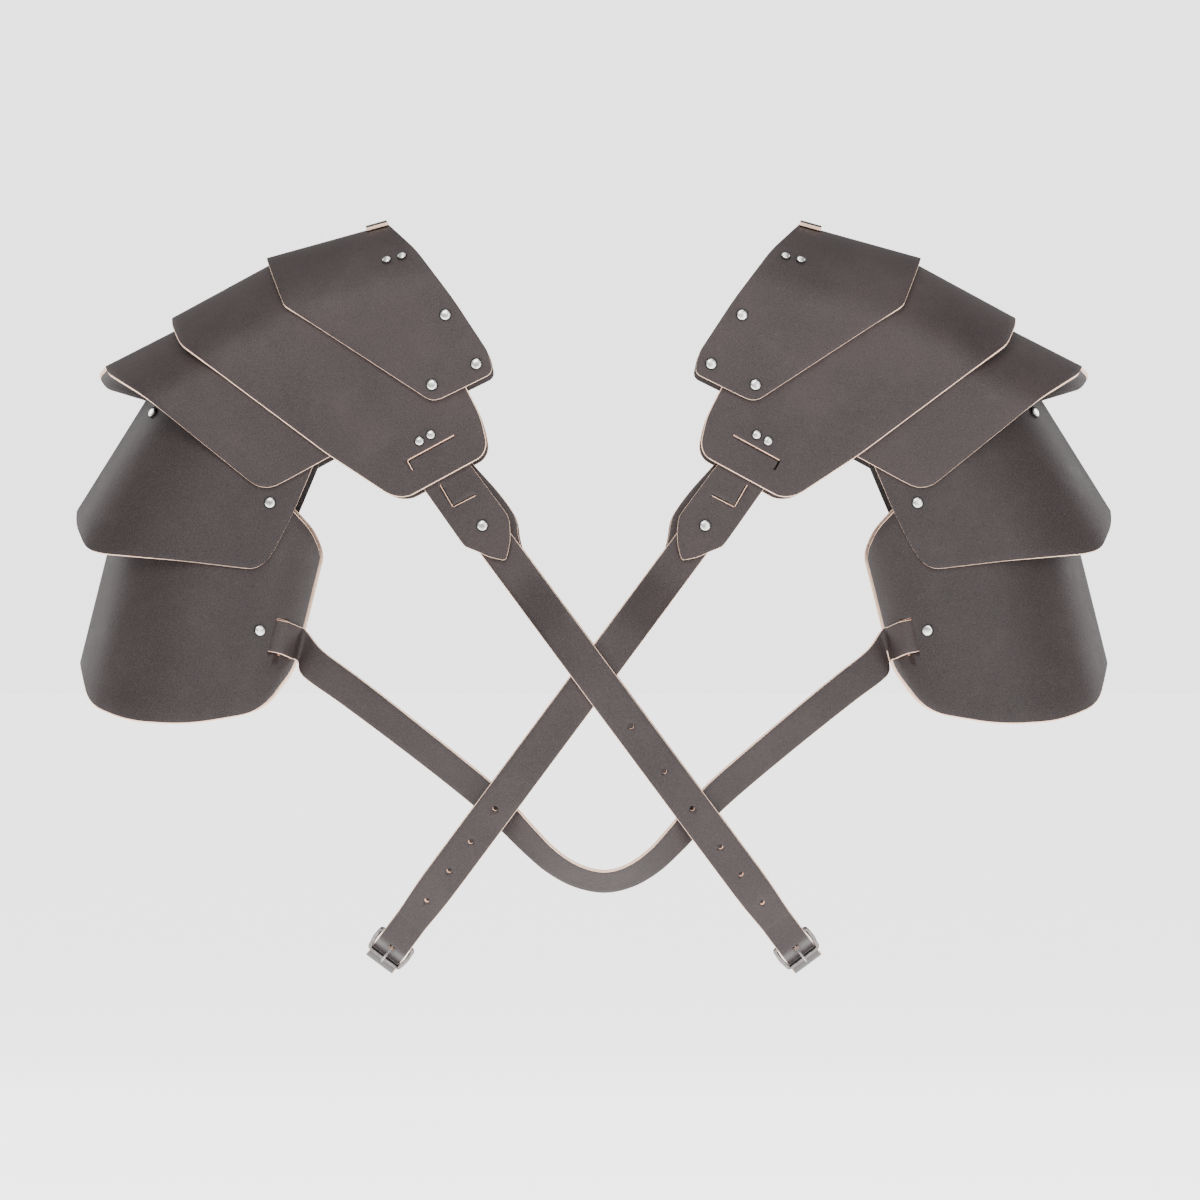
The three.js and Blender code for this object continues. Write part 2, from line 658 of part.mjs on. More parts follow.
// Buckle frame: a closed wire loop with softly bowed sides
function buckleSolids() {
  const side = BUCKLE_BORE_HALF + BUCKLE_WIRE;
  const place = (forward, across, outward) => {
    const at = buckleToBelt(forward, outward);
    return beltPoint(at.along, across, at.depth);
  };
  const round = 2;
  const bow = 1.6;
  const corners = [
    [-BUCKLE_REACH, -side],
    [0, -side - bow],
    [BUCKLE_REACH, -side + 0.8],
    [BUCKLE_REACH, side - 0.8],
    [0, side + bow],
    [-BUCKLE_REACH, side],
  ];
  const path = new THREE.CurvePath();
  const at = (i) => new THREE.Vector2(...corners[(i + corners.length) % corners.length]);
  const cut = (from, to) => to.clone().sub(from).normalize().multiplyScalar(round).add(from);
  const lift = (v) => place(v.x, v.y, 0);
  for (let i = 0; i < corners.length; i++) {
    const [before, here, after] = [at(i - 1), at(i), at(i + 1)];
    path.add(new THREE.QuadraticBezierCurve3(lift(cut(here, before)), lift(here), lift(cut(here, after))));
    path.add(new THREE.LineCurve3(lift(cut(here, after)), lift(cut(after, here))));
  }
  const points = path.curves.flatMap((curve) => curve.getPoints(curve.isLineCurve3 ? 1 : 3).slice(0, -1));
  const loop = new THREE.CatmullRomCurve3(points, true, "catmullrom", 0.05);
  const frame = solid(new THREE.TubeGeometry(loop, 30, BUCKLE_WIRE, 6, true));

  const rows = TONGUE_ROWS.map(({ forward, outward }) =>
    [-0.5, 0.5].map((share) => place(forward * BUCKLE_REACH, share * TONGUE_WIDTH, outward * BUCKLE_REACH)),
  );
  const ring = new THREE.LatheGeometry(
    [
      [BUCKLE_WIRE + RIVET_SEAT, -TONGUE_WIDTH / 2],
      [BUCKLE_WIRE + RIVET_SEAT + 1.1, -TONGUE_WIDTH / 2],
      [BUCKLE_WIRE + RIVET_SEAT + 1.1, TONGUE_WIDTH / 2],
      [BUCKLE_WIRE + RIVET_SEAT, TONGUE_WIDTH / 2],
      [BUCKLE_WIRE + RIVET_SEAT, -TONGUE_WIDTH / 2],
    ].map(([x, y]) => new THREE.Vector2(x, y)),
    12,
  );
  const turn = new THREE.Quaternion().setFromUnitVectors(new THREE.Vector3(0, 1, 0), BELT_ACROSS);
  const seated = new THREE.Matrix4();
  ring.applyMatrix4(seated.compose(place(-BUCKLE_REACH, 0, 0), turn, new THREE.Vector3(1, 1, 1)));
  const tongue = strip(rows, TONGUE_THICKNESS, 1).add(solid(ring));
  return { frame, tongue };
}

// Upper face of the tongue, from the pivot bar over to the outer bar
const TONGUE_ROWS = [
  { forward: -1.03, outward: 0.17 },
  { forward: -0.93, outward: 0.33 },
  { forward: -0.78, outward: 0.52 },
  { forward: -0.55, outward: 0.66 },
  { forward: -0.25, outward: 0.69 },
  { forward: 0.1, outward: 0.61 },
  { forward: 0.45, outward: 0.46 },
  { forward: 0.8, outward: 0.295 },
  { forward: 1.12, outward: 0.245 },
];

// A block in the buckle's frame that cuts a slot
function buckleCut(forward, outward, half) {
  const box = new THREE.BoxGeometry(forward[1] - forward[0], 2 * half, outward[1] - outward[0]);
  const a = buckleToBelt(forward[0], (outward[0] + outward[1]) / 2);
  const b = buckleToBelt(forward[1], (outward[0] + outward[1]) / 2);
  const [from, to] = [beltPoint(a.along, 0, a.depth), beltPoint(b.along, 0, b.depth)];
  const x = to.clone().sub(from).normalize();
  const z = new THREE.Vector3().crossVectors(x, BELT_ACROSS).normalize();
  const basis = new THREE.Matrix4().makeBasis(x, BELT_ACROSS, z);
  basis.setPosition(from.add(to).multiplyScalar(0.5));
  return solid(box.applyMatrix4(basis));
}

// Holes down the chest belt, as shares of the way from the crossing to the buckle
const BELT_HOLES = {
  right: [0.474, 0.593, 0.698, 0.806],
  left: [0.18, 0.34, 0.474, 0.612, 0.711, 0.815],
};

function beltHole(share) {
  const along = BELT_CENTRE + share * (BUCKLE_ALONG - BELT_CENTRE);
  const depth = loopDepth(along);
  const point = beltPoint(along, 0, depth);
  const onward = beltPoint(along + 1, 0, loopDepth(along + 1)).sub(point);
  const normal = new THREE.Vector3().crossVectors(onward, BELT_ACROSS).normalize();
  return punch({ point, normal }, 12, BELT_HOLE_RADIUS);
}

// A thin cut through a plate's flap, following the plate from one place to another
function flapSlit(plate, from, to, width = SLIT_WIDTH) {
  const [a, b] = [from, to].map(([along, drop]) => surface(plate, along, drop, FRONT));
  const x = b.point.clone().sub(a.point);
  const length = x.length();
  x.normalize();
  const z = a.normal.clone().addScaledVector(x, -a.normal.dot(x)).normalize();
  const y = new THREE.Vector3().crossVectors(z, x);
  const basis = new THREE.Matrix4().makeBasis(x, y, z);
  basis.setPosition(a.point.clone().add(b.point).multiplyScalar(0.5));
  return solid(new THREE.BoxGeometry(length, width, 12).applyMatrix4(basis));
}

// Strap between the lower arm plates, from the U's outer end in: shares of its span, fall and depth
const JOIN_ROWS = [
  { x: 0.893, fall: 0, depth: 0.5175, lean: 4 },
  { x: 0.79, fall: 0.113, depth: 0.5614, lean: 12 },
  { x: 0.68, fall: 0.2363, depth: 0.614, lean: 18 },
  { x: 0.57, fall: 0.363, depth: 0.6711, lean: 23 },
  { x: 0.462, fall: 0.4897, depth: 0.7237, lean: 26 },
  { x: 0.37, fall: 0.6027, depth: 0.7675, lean: 28 },
  { x: 0.292, fall: 0.7158, depth: 0.793, lean: 36 },
  { x: 0.228, fall: 0.8151, depth: 0.826, lean: 42 },
  { x: 0.163, fall: 0.9041, depth: 0.886, lean: 46 },
  { x: 0.085, fall: 0.9726, depth: 0.9211, lean: 48 },
  { x: 0, fall: 1, depth: 0.9386, lean: 49 },
];
const JOIN_SPAN = 212;
const JOIN_FALL = 146;
const JOIN_START = 72.4;
const JOIN_SHIFT = 7;
// Its end inside the lower arm plate: share of the plate's drop, and height over its outer face in pitches
const JOIN_SINK = 0.4;
const JOIN_END_ROWS = [
  { drop: 0.7359, height: -1, sink: JOIN_SINK },
  { drop: 0.7817, height: -1, sink: JOIN_SINK },
  { drop: 0.8275, height: -1, sink: JOIN_SINK },
  { drop: 0.8592, height: -1.107 },
  { drop: 0.8775, height: -0.679 },
  { drop: 0.8986, height: 0.25 },
  { drop: 0.9169, height: 0.839 },
  { drop: 0.9401, height: 1.036, shift: 0.6 },
  { drop: 0.9648, height: 1.143, shift: 1.4 },
  { drop: 0.9894, height: 1.286, shift: 2.4 },
];
const JOIN_ALONG = 24.5;

function joiningStrap() {
  const mirror = (row) => row.map((p) => new THREE.Vector3(-p.x, p.y, p.z));
  const ends = JOIN_END_ROWS.map(({ drop, height, sink = 0, shift = 0 }) =>
    [1, -1].map((side) => {
      const along = JOIN_ALONG + shift + side * JOIN_HALF_WIDTH;
      const at = surface(lowerArmPlate, along, drop * lowerArmPlate.drop, FRONT);
      return at.point.addScaledVector(at.normal, height * PITCH - sink);
    }),
  );
  const half = JOIN_ROWS.map(({ x, fall, depth, lean }) => ({
    x: x * JOIN_SPAN,
    z: lowerArmPlate.z - JOIN_START - fall * JOIN_FALL,
    depth: depth * LOOP_HALF_DEPTH,
    lean,
  }));
  const all = [...half, ...half.slice(0, -1).reverse().map((row) => ({ ...row, x: -row.x }))];
  const centres = all.map(
    (row) => new THREE.Vector3(row.x + JOIN_SHIFT * (1 - Math.abs(row.x) / JOIN_SPAN), -row.depth, row.z),
  );
  const free = centres.map((centre, i) => {
    const onward = centres[Math.min(centres.length - 1, i + 1)].clone().sub(centres[Math.max(0, i - 1)]);
    onward.normalize();
    const up = new THREE.Vector3(onward.z, 0, -onward.x).normalize();
    const lean = all[i].lean * DEG;
    const across = up.multiplyScalar(Math.cos(lean));
    across.y = -Math.sin(lean);
    across.addScaledVector(onward, -across.dot(onward)).normalize();
    return [-1, 1].map((side) => centre.clone().addScaledVector(across, side * JOIN_HALF_WIDTH));
  });
  const rows = [...ends, ...free, ...ends.map(mirror).reverse()];
  return strip(rows, THIN_THICKNESS, 1);
}

// Inner strap that carries the arm plates: shares of a plate's length and of its half depth
const HANGER_ROWS = [
  { plate: capPlate, along: -0.434, half: 0.167 },
  { plate: capPlate, along: -0.079, half: 0.175 },
  { plate: upperArmPlate, along: -0.208, half: 0.491 },
  { plate: upperArmPlate, along: -0.075, half: 0.596 },
  { plate: upperArmPlate, along: 0.123, half: 0.614 },
];
const HANGER_COLUMNS = 6;

function hangerSolid() {
  const outer = [];
  const inner = [];
  for (const { plate, along, half } of HANGER_ROWS) {
    const points = [];
    for (let j = 0; j <= HANGER_COLUMNS; j++) {
      const place = (half * plate.shape.flap * (2 * j - HANGER_COLUMNS)) / HANGER_COLUMNS;
      const radius = plate.shape.crownRadius;
      const drop = radius * (1 - Math.cos(Math.asin(Math.abs(place) / radius)));
      points.push(surface(plate, along * plate.length, drop, place > 0 ? BACK : FRONT));
    }
    const under = PLATE_THICKNESS + 2 * CLEARANCE;
    outer.push(points.map((at) => at.point.clone().addScaledVector(at.normal, -under)));
    inner.push(points.map((at) => at.point.clone().addScaledVector(at.normal, -under - THIN_THICKNESS)));
  }
  return solid(wall(outer, inner));
}

// Patch over the collar plate's ridge at the neck, longer down the back
const neckPatch = {
  ...collarPlate,
  length: 15,
  drop: 30,
  front: [
    { along: 0, down: 0 },
    { along: -0.02, down: 0.07 },
    { along: 0.98, down: 0.07 },
    { along: 1, down: 0 },
  ],
  back: [
    { along: 0, down: 0 },
    { along: -0.1, down: 0.85, round: 5 },
    { along: -0.08, down: 1, round: 5 },
    { along: 0.9, down: 1, round: 5 },
    { along: 1, down: 0 },
  ],
};

// Rivets of one side: a seat and its stack, or the flaps between which it reaches
const FRONT_TAB_FLAP = SHOULDER_FLAP - TAB_FRONT_UNDER;
const BACK_TAB_FLAP = SHOULDER_FLAP - TAB_BACK_UNDER;
const RIVETS = [
  { name: "neck_upper", seat: "neckUpper", from: COLLAR_FLAP, to: SHOULDER_FLAP },
  { name: "neck_lower", seat: "neckLower", from: COLLAR_FLAP, to: SHOULDER_FLAP },
  { name: "pivot", seat: "pivot", from: COLLAR_FLAP, to: CAP_FLAP, both: true },
  { name: "small_inner", seat: "smallInner", stack: PLATE_THICKNESS, cap: SMALL_CAP_RADIUS },
  { name: "small_outer", seat: "smallOuter", stack: PLATE_THICKNESS, cap: SMALL_CAP_RADIUS },
  { name: "tab_inner", seat: "tabInner", from: SHOULDER_FLAP, to: BACK_TAB_FLAP, cap: SMALL_CAP_RADIUS },
  { name: "tab_outer", seat: "tabOuter", from: SHOULDER_FLAP, to: BACK_TAB_FLAP, cap: SMALL_CAP_RADIUS },
  { name: "tab_point", from: FRONT_TAB_FLAP, to: BACK_TAB_FLAP, both: true },
  { name: "hanger", seat: "hangerArm", stack: 2 * PITCH + CLEARANCE, both: true },
  { name: "arms", seat: "arms", from: UPPER_ARM_FLAP, to: LOWER_ARM_FLAP, both: true },
  { name: "joining", seat: "joining", stack: 2 * PITCH + JOIN_SINK },
  { name: "ridge", seat: "hangerCap", stack: 2 * PITCH + CLEARANCE },
];

function sideRivets() {
  return RIVETS.flatMap(({ name, seat: place, from, to, stack, cap, both }) =>
    (both ? [FRONT, BACK] : [FRONT]).map((face) => {
      const at = place ? seat(place, face) : tabSeat(face);
      const spaced = (from - to) * spread(at.point.x, at.point.z) * Math.abs(at.normal.y) + PLATE_THICKNESS;
      const title = face === BACK ? `rivet_back_${name}` : `rivet_${name}`;
      return { name: title, at, stack: stack ?? spaced, cap };
    }),
  );
}

// All leather of one side, at +X
function sideLeather(lifted) {
  return {
    collar_plate: plateSolid(collarPlate),
    shoulder_plate: plateSolid(shoulderPlate),
    cap_plate: plateSolid(capPlate),
    upper_arm_plate: plateSolid(upperArmPlate),
    lower_arm_plate: plateSolid(lowerArmPlate),
    hanger: hangerSolid(),
    neck_patch: plateSolid(neckPatch, 2 * CLEARANCE + THIN_THICKNESS, THIN_THICKNESS),
    chest_tab: tabSolid(FRONT),
    back_tab: tabSolid(BACK),
    chest_strap: chestBelt(lifted),
    back_strap: backBelt(lifted),
  };
}

const MATERIALS = {
  leather: new THREE.MeshStandardMaterial(LEATHER),
  nickel: new THREE.MeshStandardMaterial(NICKEL),
  steel: new THREE.MeshStandardMaterial(DARK_STEEL),
};

const group = new THREE.Group();
group.name = "pauldrons";

function addMesh(name, geometry, material, mirrored = false) {
  const mesh = new THREE.Mesh(geometry, material);
  mesh.name = name;
  if (mirrored) mesh.scale.x = -1;
  group.add(mesh);
  return mesh;
}

let joining = joiningStrap();

for (const [side, mirrored] of [
  ["right", false],
  ["left", true],
]) {
  const leather = sideLeather(mirrored);
  const { frame, tongue } = buckleSolids();
  const slot = TONGUE_WIDTH / 2 + 0.5;
  const cut = (key, tool) => (leather[key] = leather[key].subtract(tool));
  cut("chest_strap", buckleCut([-1.02 * BUCKLE_REACH, -0.5 * BUCKLE_REACH], [0, 14], slot));
  cut("back_strap", buckleCut([-1.5 * BUCKLE_REACH, -0.72 * BUCKLE_REACH], [-4.5, 8], slot));
  for (const share of BELT_HOLES[side]) cut("chest_strap", beltHole(share));
  const { length, drop } = shoulderPlate;
  const slit = { from: -0.7343 * length, to: -0.2788 * length, drop: 0.884 * drop, deep: 0.9205 * drop };
  cut("shoulder_plate", flapSlit(shoulderPlate, [slit.from, slit.drop], [slit.to, slit.drop]));
  cut("shoulder_plate", flapSlit(shoulderPlate, [slit.to, slit.drop], [slit.to, slit.deep]));
  const door = [JOIN_ALONG + JOIN_HALF_WIDTH + 2, JOIN_ALONG - JOIN_HALF_WIDTH - 0.6];
  const doorDrop = 0.9 * lowerArmPlate.drop;
  const doorWidth = 0.086 * lowerArmPlate.drop;
  cut("lower_arm_plate", flapSlit(lowerArmPlate, [door[0], doorDrop], [door[1], doorDrop], doorWidth));
  for (const { name, at, stack, cap } of sideRivets()) {
    const pin = punch(at, stack);
    for (const key of Object.keys(leather)) cut(key, pin);
    joining = joining.subtract(mirrored ? pin.scale([-1, 1, 1]) : pin);
    addMesh(`${side}_${name}`, geometryOf(solid(rivetGeometry(at, stack, cap))), MATERIALS.nickel, mirrored);
  }
  for (const [key, body] of Object.entries(leather))
    addMesh(`${side}_${key}`, geometryOf(body), MATERIALS.leather, mirrored);
  addMesh(`${side}_buckle_frame`, geometryOf(frame), MATERIALS.steel, mirrored);
  addMesh(`${side}_buckle_tongue`, geometryOf(tongue), MATERIALS.steel, mirrored);
}
addMesh("joining_strap", geometryOf(joining), MATERIALS.leather);

export default group;
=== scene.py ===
"""A pair of leather pauldrons with crossed straps: smooth leather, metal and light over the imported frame.

The model's frame: metres, +Z up, front towards -Y, origin midway between the shoulders at collar height.
Sizes in this file are millimetres until a mesh is finished.
"""
import logging
import math
from dataclasses import dataclass, field
from enum import Enum

import bmesh
import bpy
from bmesh.types import BMesh
from bpy.types import Material
from mathutils import Matrix, Vector


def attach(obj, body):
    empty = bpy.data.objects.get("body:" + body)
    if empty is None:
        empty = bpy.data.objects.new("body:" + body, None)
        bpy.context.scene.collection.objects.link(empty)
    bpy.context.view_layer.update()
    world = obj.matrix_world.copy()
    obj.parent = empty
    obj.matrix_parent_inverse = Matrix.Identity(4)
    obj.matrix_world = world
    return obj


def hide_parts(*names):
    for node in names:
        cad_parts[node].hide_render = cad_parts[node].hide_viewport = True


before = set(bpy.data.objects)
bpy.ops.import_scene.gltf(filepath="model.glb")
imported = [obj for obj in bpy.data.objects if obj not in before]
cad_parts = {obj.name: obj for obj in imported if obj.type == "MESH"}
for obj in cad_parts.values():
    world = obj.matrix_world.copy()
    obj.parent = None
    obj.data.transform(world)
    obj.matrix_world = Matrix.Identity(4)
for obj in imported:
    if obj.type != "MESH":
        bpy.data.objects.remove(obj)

logging.basicConfig(level=logging.INFO, format="%(message)s")
LOG = logging.getLogger("pauldrons")

# Leather and clearances
PLATE_THICKNESS = 2.4
BELT_THICKNESS = 2.4
THIN_THICKNESS = 2.2
CLEARANCE = 0.4

# How the flaps spread: deeper front to back going down, shallower going out
SPREAD_DOWN = 0.0018
SPREAD_OUT = 0.0008
COLLAR_X = 138.9

# Half depth of each plate's flap at the collar
COLLAR_FLAP = 66.0
SHOULDER_FLAP = COLLAR_FLAP - PLATE_THICKNESS - 2.4 * CLEARANCE
CAP_FLAP = SHOULDER_FLAP - PLATE_THICKNESS - CLEARANCE
UPPER_ARM_FLAP = CAP_FLAP - PLATE_THICKNESS - CLEARANCE
LOWER_ARM_FLAP = UPPER_ARM_FLAP - PLATE_THICKNESS - CLEARANCE
TAB_FRONT_UNDER = PLATE_THICKNESS + CLEARANCE
BELT_UNDER = TAB_FRONT_UNDER + THIN_THICKNESS + CLEARANCE
TAB_BACK_UNDER = BELT_UNDER + BELT_THICKNESS + CLEARANCE

# Tab, belt loop and buckle
TAB_HALF_WIDTH = 17.5
TAB_TOP = -77.0
TAB_POINT = 27.5
TAB_RIVET = Vector((74.4, 0.0, -191.6))
BELT_SLOPE = math.radians(53.4)
LOOP_HALF_WIDTH = 145.0
LOOP_HALF_DEPTH = 114.0
BELT_HALF_WIDTH = 12.3
BELT_HALF_NARROW = 11.0
BELT_TOP = -17.0
BUCKLE_TURN = math.radians(72.7)
BUCKLE_SINK = 4.0
BUCKLE_REACH = 14.5
BUCKLE_WIRE = 1.5
BUCKLE_BORE_HALF = 11.3
WIRE_SIDES = 20
WIRE_END = 0.6
TONGUE_RING = 2.35
TONGUE_WIDTH = 2.6
TONGUE_THICKNESS = 1.7

# Joining strap
JOIN_HALF_WIDTH = 11.0
JOIN_SINK = 0.4
JOIN_ALONG = 24.5
JOIN_SPAN = 212.0
JOIN_SHIFT = 7.0

# Rivets
RIVET_CAP_RADIUS = 4.0
RIVET_CAP_HEIGHT = 1.5
SMALL_CAP_RADIUS = 3.3
RIVET_SHANK_RADIUS = 1.5
RIVET_TAIL_HEIGHT = 0.9
RIVET_SEAT = 0.3

# Rows of a plate: turn between rows on a bend in degrees, step on the flap, least step, last step and stop
ROW_TURN = 3
ROW_STEP = 4.0
ROW_LEAST = 0.55
ROW_LAST = 0.35
ROW_STOP = 0.15

# Faces across each kind of sheet, bevels of the straps' edges, and the tools that cut them
PLATE_COLUMNS, TAB_COLUMNS, STRAP_COLUMNS = 14, 10, 6
TAB_EDGE, BELT_EDGE = 0.35, 0.3
BELT_HOLE = 1.7
TOOL_DEPTH = 14.0

MM = 0.001


class Face(Enum):
    """Which half of a bent plate: towards the viewer or away."""

    FRONT = 1
    BACK = -1


def clamp(value: float, low: float = 0.0, high: float = 1.0) -> float:
    """Returns the value held between two limits."""
    return max(low, min(high, value))


def smoothstep(value: float, low: float, high: float) -> float:
    """Returns a soft step from 0 at low to 1 at high."""
    share = clamp((value - low) / (high - low))
    return share * share * (3 - 2 * share)


def spread(x: float, z: float) -> float:
    """Returns the depth factor at a place of the front view."""
    return 1 - SPREAD_DOWN * z - SPREAD_OUT * (abs(x) - COLLAR_X)


def table(kind, *rows: tuple) -> tuple:
    """Returns rows of numbers as a table of one kind of entry."""
    return tuple(kind(*row) for row in rows)


@dataclass(frozen=True)
class Profile:
    """Cross-section of a plate: crown arc, shoulder arc, upright flap and a curl on the arm."""

    flap: float
    crown_turn: float
    shoulder_radius: float
    curl_start: float = math.inf
    curl_radius: float = 1.0

    @property
    def turn(self) -> float:
        return math.radians(self.crown_turn)

    @property
    def crown_radius(self) -> float:
        return (self.flap - self.shoulder_radius * (1 - math.sin(self.turn))) / math.sin(self.turn)

    @property
    def crown_drop(self) -> float:
        return self.crown_radius * (1 - math.cos(self.turn))

    @property
    def flap_drop(self) -> float:
        return self.crown_drop + self.shoulder_radius * math.cos(self.turn)

    def at(self, drop: float) -> tuple[float, float]:
        """Returns the half depth and the turn of the section at a drop below the ridge."""
        if drop <= self.crown_drop:
            angle = math.acos(max(-1.0, 1 - drop / self.crown_radius))
            return self.crown_radius * math.sin(angle), angle
        if drop <= self.flap_drop:
            angle = math.acos(clamp(math.cos(self.turn) - (drop - self.crown_drop) / self.shoulder_radius))
            reach = self.crown_radius * math.sin(self.turn)
            return reach + self.shoulder_radius * (math.sin(angle) - math.sin(self.turn)), angle
        if drop <= self.curl_start:
            return self.flap, math.pi / 2
        past = math.asin(min(0.95, (drop - self.curl_start) / self.curl_radius))
        return self.flap - self.curl_radius * (1 - math.cos(past)), math.pi / 2 + past

    def girth(self, drop: float) -> float:
        """Returns the length round the section from the ridge to a drop."""
        angle = self.at(min(drop, self.flap_drop))[1]
        crown = self.crown_radius * min(angle, self.turn)
        shoulder = self.shoulder_radius * max(0.0, angle - self.turn)
        return crown + shoulder + max(0.0, drop - self.flap_drop)


@dataclass(frozen=True)
class Corner:
    """A corner of an outline, as shares of the plate's length and drop, and its rounding in mm."""

    along: float
    down: float
    round: float = 0.0


@dataclass(frozen=True)
class Place:
    """A point on a leather surface and the direction it faces."""

    point: Vector
    normal: Vector


@dataclass(frozen=True)
class Plate:
    """A bent plate: its ridge, its section and its outline's corners at the front and at the back."""

    x: float
    z: float
    slope: float
    length: float
    drop: float
    shape: Profile
    front: tuple
    back: tuple = ()

    def surface(self, along: float, drop: float, face: Face) -> Place:
        """Returns the outer surface's place along the ridge and down from it."""
        slope = math.radians(self.slope)
        run = Vector((math.cos(slope), 0, -math.sin(slope)))
        rise = Vector((math.sin(slope), 0, math.cos(slope)))
        half, angle = self.shape.at(drop)
        point = Vector((self.x, 0, self.z)) + run * along - rise * drop
        factor = spread(point.x, point.z)
        side = -face.value
        point.y = side * half * factor

        def pull(v: Vector) -> float:
            return half * (-SPREAD_DOWN * v.z - SPREAD_OUT * v.x)

        onward = Vector((run.x, side * pull(run), run.z))
        around = rise * -math.sin(angle)
        around.y = side * (math.cos(angle) * factor + pull(around))
        normal = onward.cross(around).normalized()
        outward = rise * math.cos(angle) + Vector((0, side * math.sin(angle), 0))
        return Place(point, normal if normal.dot(outward) > 0 else -normal)

    def outline(self, face: Face, steps: int = 9) -> list[Vector]:
        """Returns the outline's points in mm, its corners rounded."""
        entries = table(Corner, *(self.back if face is Face.BACK and self.back else self.front))
        corners = [Vector((row.along * self.length, row.down * self.drop)) for row in entries]
        points = [corners[0]]
        for i in range(1, len(corners) - 1):
            here = corners[i]
            before, after = corners[i - 1] - here, corners[i + 1] - here
            cut = min(entries[i].round, before.length * 0.48, after.length * 0.48)
            if cut < 0.5:
                points.append(here)
                continue
            start, end = here + before.normalized() * cut, here + after.normalized() * cut
            for k in range(steps + 1):
                t = k / steps
                points.append(start * (1 - t) ** 2 + here * 2 * t * (1 - t) + end * t * t)
        return points + [corners[-1]]


def reach_at(points: list[Vector], drop: float) -> tuple[float, float]:
    """Returns the least and greatest place along the ridge that an outline reaches at a drop."""
    places = []
    for a, b in zip(points, points[1:]):
        if min(a.y, b.y) - 1e-9 <= drop <= max(a.y, b.y) + 1e-9:
            if abs(b.y - a.y) < 1e-9:
                places += [a.x, b.x]
            else:
                places.append(a.x + (drop - a.y) / (b.y - a.y) * (b.x - a.x))
    return min(places), max(places)


COLLAR = Plate(
    138.9, 12.4, 15.5, 85, 125.5, Profile(COLLAR_FLAP, 50, 40),
    (
        (0, 0), (-0.165, 0.185, 6), (-0.346, 0.495, 10), (-0.5, 0.82, 4),
        (-0.49, 0.935, 5), (0.025, 1, 7), (0.955, 0.285, 3), (1, 0),
    ),
)
SHOULDER = Plate(
    220, -15.7, 28.5, 76.4, 183.6, Profile(SHOULDER_FLAP, 50, 38),
    (
        (-0.13, 0), (-0.13, 0.17, 8), (-0.53, 0.33, 10), (-0.88, 0.52, 14),
        (-1.03, 0.68, 10), (-1.02, 0.87, 8), (-0.93, 1, 11), (-0.04, 1, 13),
        (0.325, 0.716, 6), (1, 0.107, 4), (0.99, 0.03, 3), (0.965, 0),
    ),
)
CAP_OUTLINE = (
    (-0.37, 0), (-0.37, 0.13, 6), (-2, 0.64, 20), (-3.05, 0.76, 9),
    (-3.05, 0.965, 12), (-0.14, 1, 13),
)
CAP = Plate(
    284.3, -60.3, 27, 50.7, 126, Profile(CAP_FLAP, 50, 35),
    CAP_OUTLINE + (
        (0.22, 0.677, 10), (0.69, 0.253, 8), (1, 0.045, 3), (1, 0),
    ),
    CAP_OUTLINE + (
        (0.24, 0.685, 10), (0.71, 0.258, 8), (1.15, 0.085, 5), (1.16, 0.02, 3),
        (1, 0),
    ),
)
UPPER_ARM = Plate(
    302.7, -106.9, 58, 106, 129.3, Profile(UPPER_ARM_FLAP, 60, 110, 119, 90),
    (
        (-0.146, 0), (-0.127, 0.466, 12), (-0.158, 0.777, 12), (-0.26, 0.93, 4),
        (0.13, 0.983, 20), (0.43, 1, 7), (0.53, 0.965, 6), (0.73, 0.618, 12),
        (0.96, 0.245, 6), (0.99, 0.16, 8), (0.9, 0.045, 6), (0.82, 0),
    ),
)
LOWER_ARM = Plate(
    328.8, -211.1, 76, 104, 142, Profile(LOWER_ARM_FLAP, 60, 104, 104, 45),
    (
        (-0.55, 0), (-0.645, 0.48, 14), (-0.645, 0.743, 8), (-0.49, 0.92, 7),
        (-0.35, 1, 8), (0.42, 1, 10), (0.74, 0.9, 14), (0.93, 0.58, 18),
        (1, 0.3, 16), (0.96, 0.1, 10), (0.72, 0),
    ),
)
NECK_PATCH = Plate(
    138.9, 12.4, 15.5, 15, 30, Profile(COLLAR_FLAP, 50, 40),
    ((0, 0), (-0.02, 0.07), (0.98, 0.07), (1, 0)),
    ((0, 0), (-0.1, 0.85, 5), (-0.08, 1, 5), (0.9, 1, 5), (1, 0)),
)


class Signal:
    """A shader value that takes part in sums and products."""

    def __init__(self, shade: "Shade", socket):
        self.shade = shade
        self.socket = socket

    def _math(self, operation: str, *others) -> "Signal":
        return self.shade.node("ShaderNodeMath", self, *others, operation=operation)

    def __add__(self, other):
        return self._math("ADD", other)

    def __sub__(self, other):
        return self._math("SUBTRACT", other)

    def __rsub__(self, other):
        return self.shade.node("ShaderNodeMath", other, self, operation="SUBTRACT")

    def __mul__(self, other):
        return self._math("MULTIPLY", other)

    __radd__ = __add__
    __rmul__ = __mul__

    def between(self, low: float, high: float) -> "Signal":
        """Returns the value stretched so that low gives 0 and high gives 1, held within both."""
        return self.shade.node("ShaderNodeMapRange", self, low, high)


